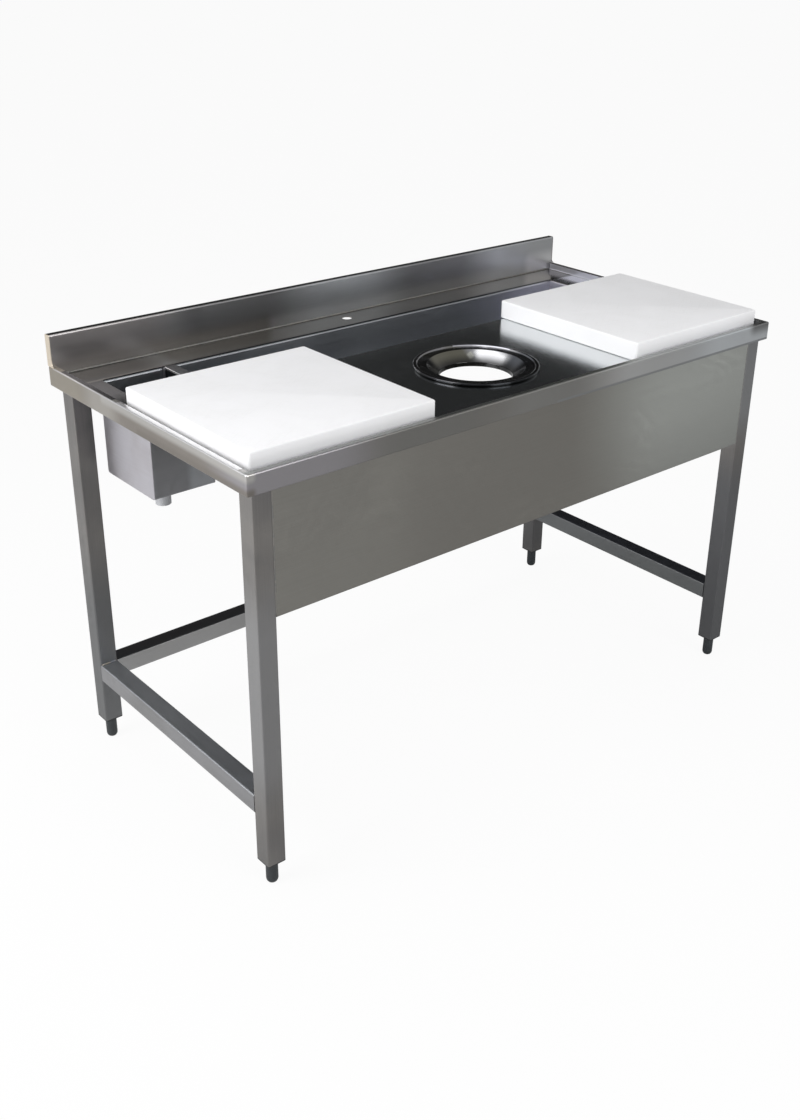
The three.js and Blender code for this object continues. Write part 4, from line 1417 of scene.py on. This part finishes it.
@dataclass
class UnderFrame(SubAssembly):
    """The welded frame: legs, lower rails and the stiffeners under the deck."""

    radius: float = 0.0022
    ripple: float = 0.0014
    ripples: int = 22
    seam_ripple: float = 0.012
    seam_sink: float = 0.0016

    def build(self) -> None:
        """Dresses the tubes and lays the weld beads and the ground seams."""
        self.dress(LEG_STEEL, *(f"leg_{leg.value}" for leg in Leg))
        for kind in ("lower_rail", "side_channel", "cross_channel"):
            self.dress(SIDE_RAIL_STEEL, *(f"{kind}_{side}" for side in SIDES))
        self.dress(REAR_RAIL_STEEL, "lower_rail_rear", "front_channel")
        self.dress(APRON_STEEL, "apron")
        self.lay_beads()
        self.lay_seams()

    def lay_beads(self) -> None:
        """Lays a bead above and below each end of the lower rails."""
        along_x = draw_bead("weld_pattern_x", self.radius, self.ripple, self.ripples, Way.X)
        along_y = draw_bead("weld_pattern_y", self.radius, self.ripple, self.ripples, Way.Y)
        for rail in (*SIDES, "rear"):
            low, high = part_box(f"lower_rail_{rail}")
            x, y = (low.x + high.x) / 2, (low.y + high.y) / 2
            if rail == "rear":
                pattern, word = along_y, "back"
                ends = {"left": (low.x, y), "right": (high.x, y)}
            else:
                pattern, word = along_x, rail
                ends = {"front": (x, low.y), "rear": (x, high.y)}
            for end, at in ends.items():
                for level, z in (("low", low.z), ("high", high.z)):
                    self.place(copy_at(pattern, f"weld_{word}_{end}_{level}", (*at, z)), WELD_STEEL)
        for pattern in (along_x, along_y):
            bpy.data.objects.remove(pattern)

    def lay_seams(self) -> None:
        """Fills the joints between apron and legs with a ground seam."""
        low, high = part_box("apron")
        ripples = int((high.z - low.z) / self.seam_ripple) - 1
        pattern = draw_bead("seam_pattern", self.radius, self.seam_ripple, ripples, Way.Z)
        for side, x in zip(SIDES, (low.x, high.x)):
            at = (x, low.y + self.seam_sink, (low.z + high.z) / 2)
            self.place(copy_at(pattern, f"apron_seam_{side}", at), SEAM_STEEL)
        bpy.data.objects.remove(pattern)


@dataclass
class AdjustableFoot(SubAssembly):
    """One foot with its stem, and the plug in the end of its leg."""

    leg: Leg = Leg.FRONT_LEFT
    radius: float = 0.012
    tip: float = 0.006
    nose: float = 0.010
    top: float = 0.001
    stem: float = 0.005
    thread_pitch: float = 0.0015
    thread_depth: float = 0.0007
    core: float = 0.014
    core_corner: float = 0.002
    rim: float = 0.0025
    rim_corner: float = 0.003
    rim_edge: float = 0.0007
    play: float = 0.0003
    tool_reach: float = 0.01

    def build(self) -> None:
        """Turns the foot and the stem, and shapes the plug."""
        word = self.leg.value
        middle = node_middle(f"foot_{word}")
        low, high = node_levels(f"foot_{word}")
        body = f"foot_unit_{word}"
        nose = arc((self.tip, low + self.nose), (self.radius - self.tip, self.nose), -90, 0, 10)
        top = arc((self.radius - self.top, high - self.top), (self.top, self.top), 0, 90, 4)
        foot = turn_piece(f"bullet_foot_{word}", [*nose, *top], sides=48, at=middle)
        self.place(foot, FOOT_PLASTIC, f"foot_{word}", body=body)
        self.place(self.threaded_stem(word, middle), BOLT_STEEL, f"foot_stem_{word}", body=body)
        self.place(self.plug(word, middle), PLUG_PLASTIC, f"leg_plug_{word}")

    def threaded_stem(self, word: str, middle: Vector) -> Object:
        """Turns a stem with the grooves of a thread.

        Args:
            word: the leg's name.
            middle: the middle of the foot.

        Returns:
            The stem.
        """
        low, high = node_levels(f"foot_stem_{word}")
        root = self.stem - self.thread_depth
        rings = [(root, low)]
        for i in range(int((high - low - 2 * self.thread_pitch) / self.thread_pitch)):
            start = low + (i + 0.5) * self.thread_pitch
            rings += [(self.stem, start), (root, start + self.thread_pitch / 2)]
        rings.append((root, high))
        return turn_piece(f"threaded_stem_{word}", rings, sides=20, at=middle, degrees=25)

    def plug(self, word: str, middle: Vector) -> Object:
        """Shapes the moulded plug: a rim under the tube and a core inside it.

        Args:
            word: the leg's name.
            middle: the middle of the foot.

        Returns:
            The plug.
        """
        low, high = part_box(f"leg_plug_{word}")
        rim = draw_block("plug_rim", low, (high.x, high.y, low.z + self.rim))
        round_upright_edges(rim, self.rim_corner, segments=4)
        soften(rim, self.rim_edge, segments=2)
        core = draw_block(
            "plug_core",
            (middle.x - self.core, middle.y - self.core, low.z + self.rim / 2),
            (middle.x + self.core, middle.y + self.core, high.z),
        )
        round_upright_edges(core, self.core_corner, segments=3)
        combine(rim, Cut.ADD, core)
        bore = self.stem + self.play
        rings = [(bore, low.z - self.tool_reach), (bore, high.z + self.tool_reach)]
        tool = draw_rings("plug_bore", rings, sides=32)
        tool.location = (middle.x, middle.y, 0.0)
        settle(tool)
        combine(rim, Cut.TAKE_AWAY, tool)
        call(rim, f"tube_plug_{word}")
        smooth(rim)
        return rim


@dataclass(frozen=True)
class Lamp:
    """A soft area lamp: its place, the point that it faces, its two sizes and its watts."""

    name: str
    at: Vec3
    towards: Vec3
    size: Ring
    power: float

    def hang(self) -> None:
        """Hangs the lamp."""
        data = bpy.data.lights.new(self.name, "AREA")
        data.shape = "RECTANGLE"
        data.size, data.size_y = self.size
        data.energy = self.power
        lamp = bpy.data.objects.new(self.name, data)
        bpy.context.scene.collection.objects.link(lamp)
        lamp.location = self.at
        lamp.rotation_euler = (Vector(self.towards) - Vector(self.at)).to_track_quat("-Z", "Y").to_euler()
        LOG.info("%s: %.0f W", self.name, self.power)


@dataclass
class Studio:
    """The plain studio: a pale floor, soft lamps and the camera."""

    floor_size: float = 60.0
    floor_colour: Colour = (0.82, 0.82, 0.82)
    floor_second: Colour = (0.8, 0.8, 0.8)
    floor_patch: float = 1.5
    floor_share: float = 0.3
    camera_at: Vec3 = (-1.73554, -1.97552, 1.69254)
    yaw: float = 0.71994
    pitch: float = 0.44471
    roll: float = 0.01821
    lens: float = 41.5945
    sensor: float = 36.0
    shift: Ring = (-0.0251, -0.0313)
    sight: float = 200.0
    seen_share: float = 0.93
    mirrored_share: float = 0.35
    dim_across: Ring = (-0.3, 1.0)
    dark_way: Vec3 = (0.66, 0.7, 0.3)
    dark_edge: Ring = (0.8, 0.93)
    dark_level: float = 0.03
    studio_level: float = 0.55
    fill_level: float = 0.46
    horizon: Ring = (0.04, 0.15)
    lamps: tuple[Lamp, ...] = (
        Lamp("lamp over the table", (-0.8, 0.5, 3.6), (0.0, 0.0, 0.8), (2.6, 2.2), 19.5),
        Lamp("lamp on the left", (-3.4, 0.5, 2.0), (0.0, 0.1, 0.6), (2.2, 2.2), 86.0),
        Lamp("lamp in front", (0.2, -4.2, 2.4), (0.0, 0.0, 0.8), (2.6, 2.0), 80.0),
    )

    def build(self) -> None:
        """Sets the floor, the world, the lamps and the camera."""
        self.set_floor()
        self.set_world()
        for lamp in self.lamps:
            lamp.hang()
        self.set_camera()
        bpy.context.scene.view_settings.view_transform = "Standard"

    def rays(self, bench: NodeBench) -> tuple[NodeSocket, NodeSocket]:
        """Tells the camera's own rays and those that metal or glass sends on.

        Args:
            bench: the bench of the floor's or the world's tree.

        Returns:
            Whether a ray is the camera's own, and whether it was sent on.
        """
        kinds = bench.add("LightPath").outputs
        sent_on = bench.math("ADD", kinds["Is Glossy Ray"], kinds["Is Transmission Ray"])
        return kinds["Is Camera Ray"], sent_on

    def set_floor(self) -> None:
        """Lays a floor that is white to the camera and keeps the table's shadow."""
        deselect_all()
        bpy.ops.mesh.primitive_plane_add(size=self.floor_size, location=(0, 0, 0))
        floor = bpy.context.active_object
        call(floor, "studio_floor")
        made = bpy.data.materials.new("studio floor")
        bench = empty_bench(made)
        patches = clouding(bench, Size=self.floor_patch)
        share = bench.scaled(patches, self.floor_share)
        pale = bench.blend(share, self.floor_colour, self.floor_second)
        matt = bench.add("BsdfDiffuse", {"Color": pale}).outputs[0]
        seen, sent_on = self.rays(bench)
        across = bench.math("SUBTRACT", bench.part(bench.place, 1), bench.part(bench.place, 0))
        level = bench.math("MAXIMUM", bench.remap(across, self.dim_across), seen)
        white = bench.add("Emission", {"Color": (1, 1, 1, 1), "Strength": level}).outputs[0]
        share = bench.scaled(seen, self.seen_share, bench.scaled(sent_on, self.mirrored_share))
        mixed = bench.add("MixShader", {0: share, 1: matt, 2: white})
        bench.add("OutputMaterial", {0: mixed.outputs[0]})
        floor.data.materials.append(made)
        LOG.info("floor laid")

    def set_world(self) -> None:
        """Makes a white horizon under a grey studio with one dark wall, behind on the right."""
        world = bpy.data.worlds.new("studio world")
        bpy.context.scene.world = world
        bench = empty_bench(world)
        way = bench.add("TexCoord").outputs["Generated"]
        seen, sent_on = self.rays(bench)
        wall = bench.vector("DOT_PRODUCT", way, tuple(Vector(self.dark_way).normalized()))
        studio = bench.remap(wall, self.dark_edge, (self.studio_level, self.dark_level))
        horizon = bench.remap(bench.part(way, 2), self.horizon, FALLING)
        shown = bench.math("MAXIMUM", studio, horizon)
        level = bench.add("Mix", {0: sent_on, 2: self.fill_level, 3: shown}).outputs[0]
        level = bench.math("MAXIMUM", level, seen)
        light = bench.add("Background", {"Color": (1, 1, 1, 1), "Strength": level})
        bench.add("OutputWorld", {0: light.outputs[0]})

    def set_camera(self) -> None:
        """Sets the camera where the photograph was taken from."""
        data = bpy.data.cameras.new("camera")
        data.lens = self.lens
        data.sensor_width = self.sensor
        data.shift_x, data.shift_y = self.shift
        data.clip_end = self.sight
        camera = bpy.data.objects.new("camera", data)
        bpy.context.scene.collection.objects.link(camera)
        level = Vector((math.cos(self.yaw), -math.sin(self.yaw), 0.0))
        flat = Vector((math.sin(self.yaw), math.cos(self.yaw), 0.0))
        ahead = flat * math.cos(self.pitch) - Vector((0.0, 0.0, math.sin(self.pitch)))
        rise = level.cross(ahead)
        right = level * math.cos(self.roll) + rise * math.sin(self.roll)
        up = rise * math.cos(self.roll) - level * math.sin(self.roll)
        turn = Matrix((right, up, -ahead)).transposed()
        camera.matrix_world = Matrix.Translation(Vector(self.camera_at)) @ turn.to_4x4()
        bpy.context.scene.camera = camera


def main() -> None:
    """Builds the table's looks and the studio in order."""
    logging.basicConfig(level=logging.INFO, format="%(name)s: %(message)s")
    assemblies: list[SubAssembly] = [
        Worktop(),
        *(CuttingBoard(body=f"board_{side}", side=side) for side in SIDES),
        Trough(),
        WasteChute(),
        WasteFitting(),
        UnderFrame(),
        *(AdjustableFoot(leg=leg) for leg in Leg),
    ]
    for assembly in assemblies:
        LOG.info("building %s", type(assembly).__name__)
        assembly.build()
    Studio().build()
    deselect_all()


if __name__ == "__main__":
    main()
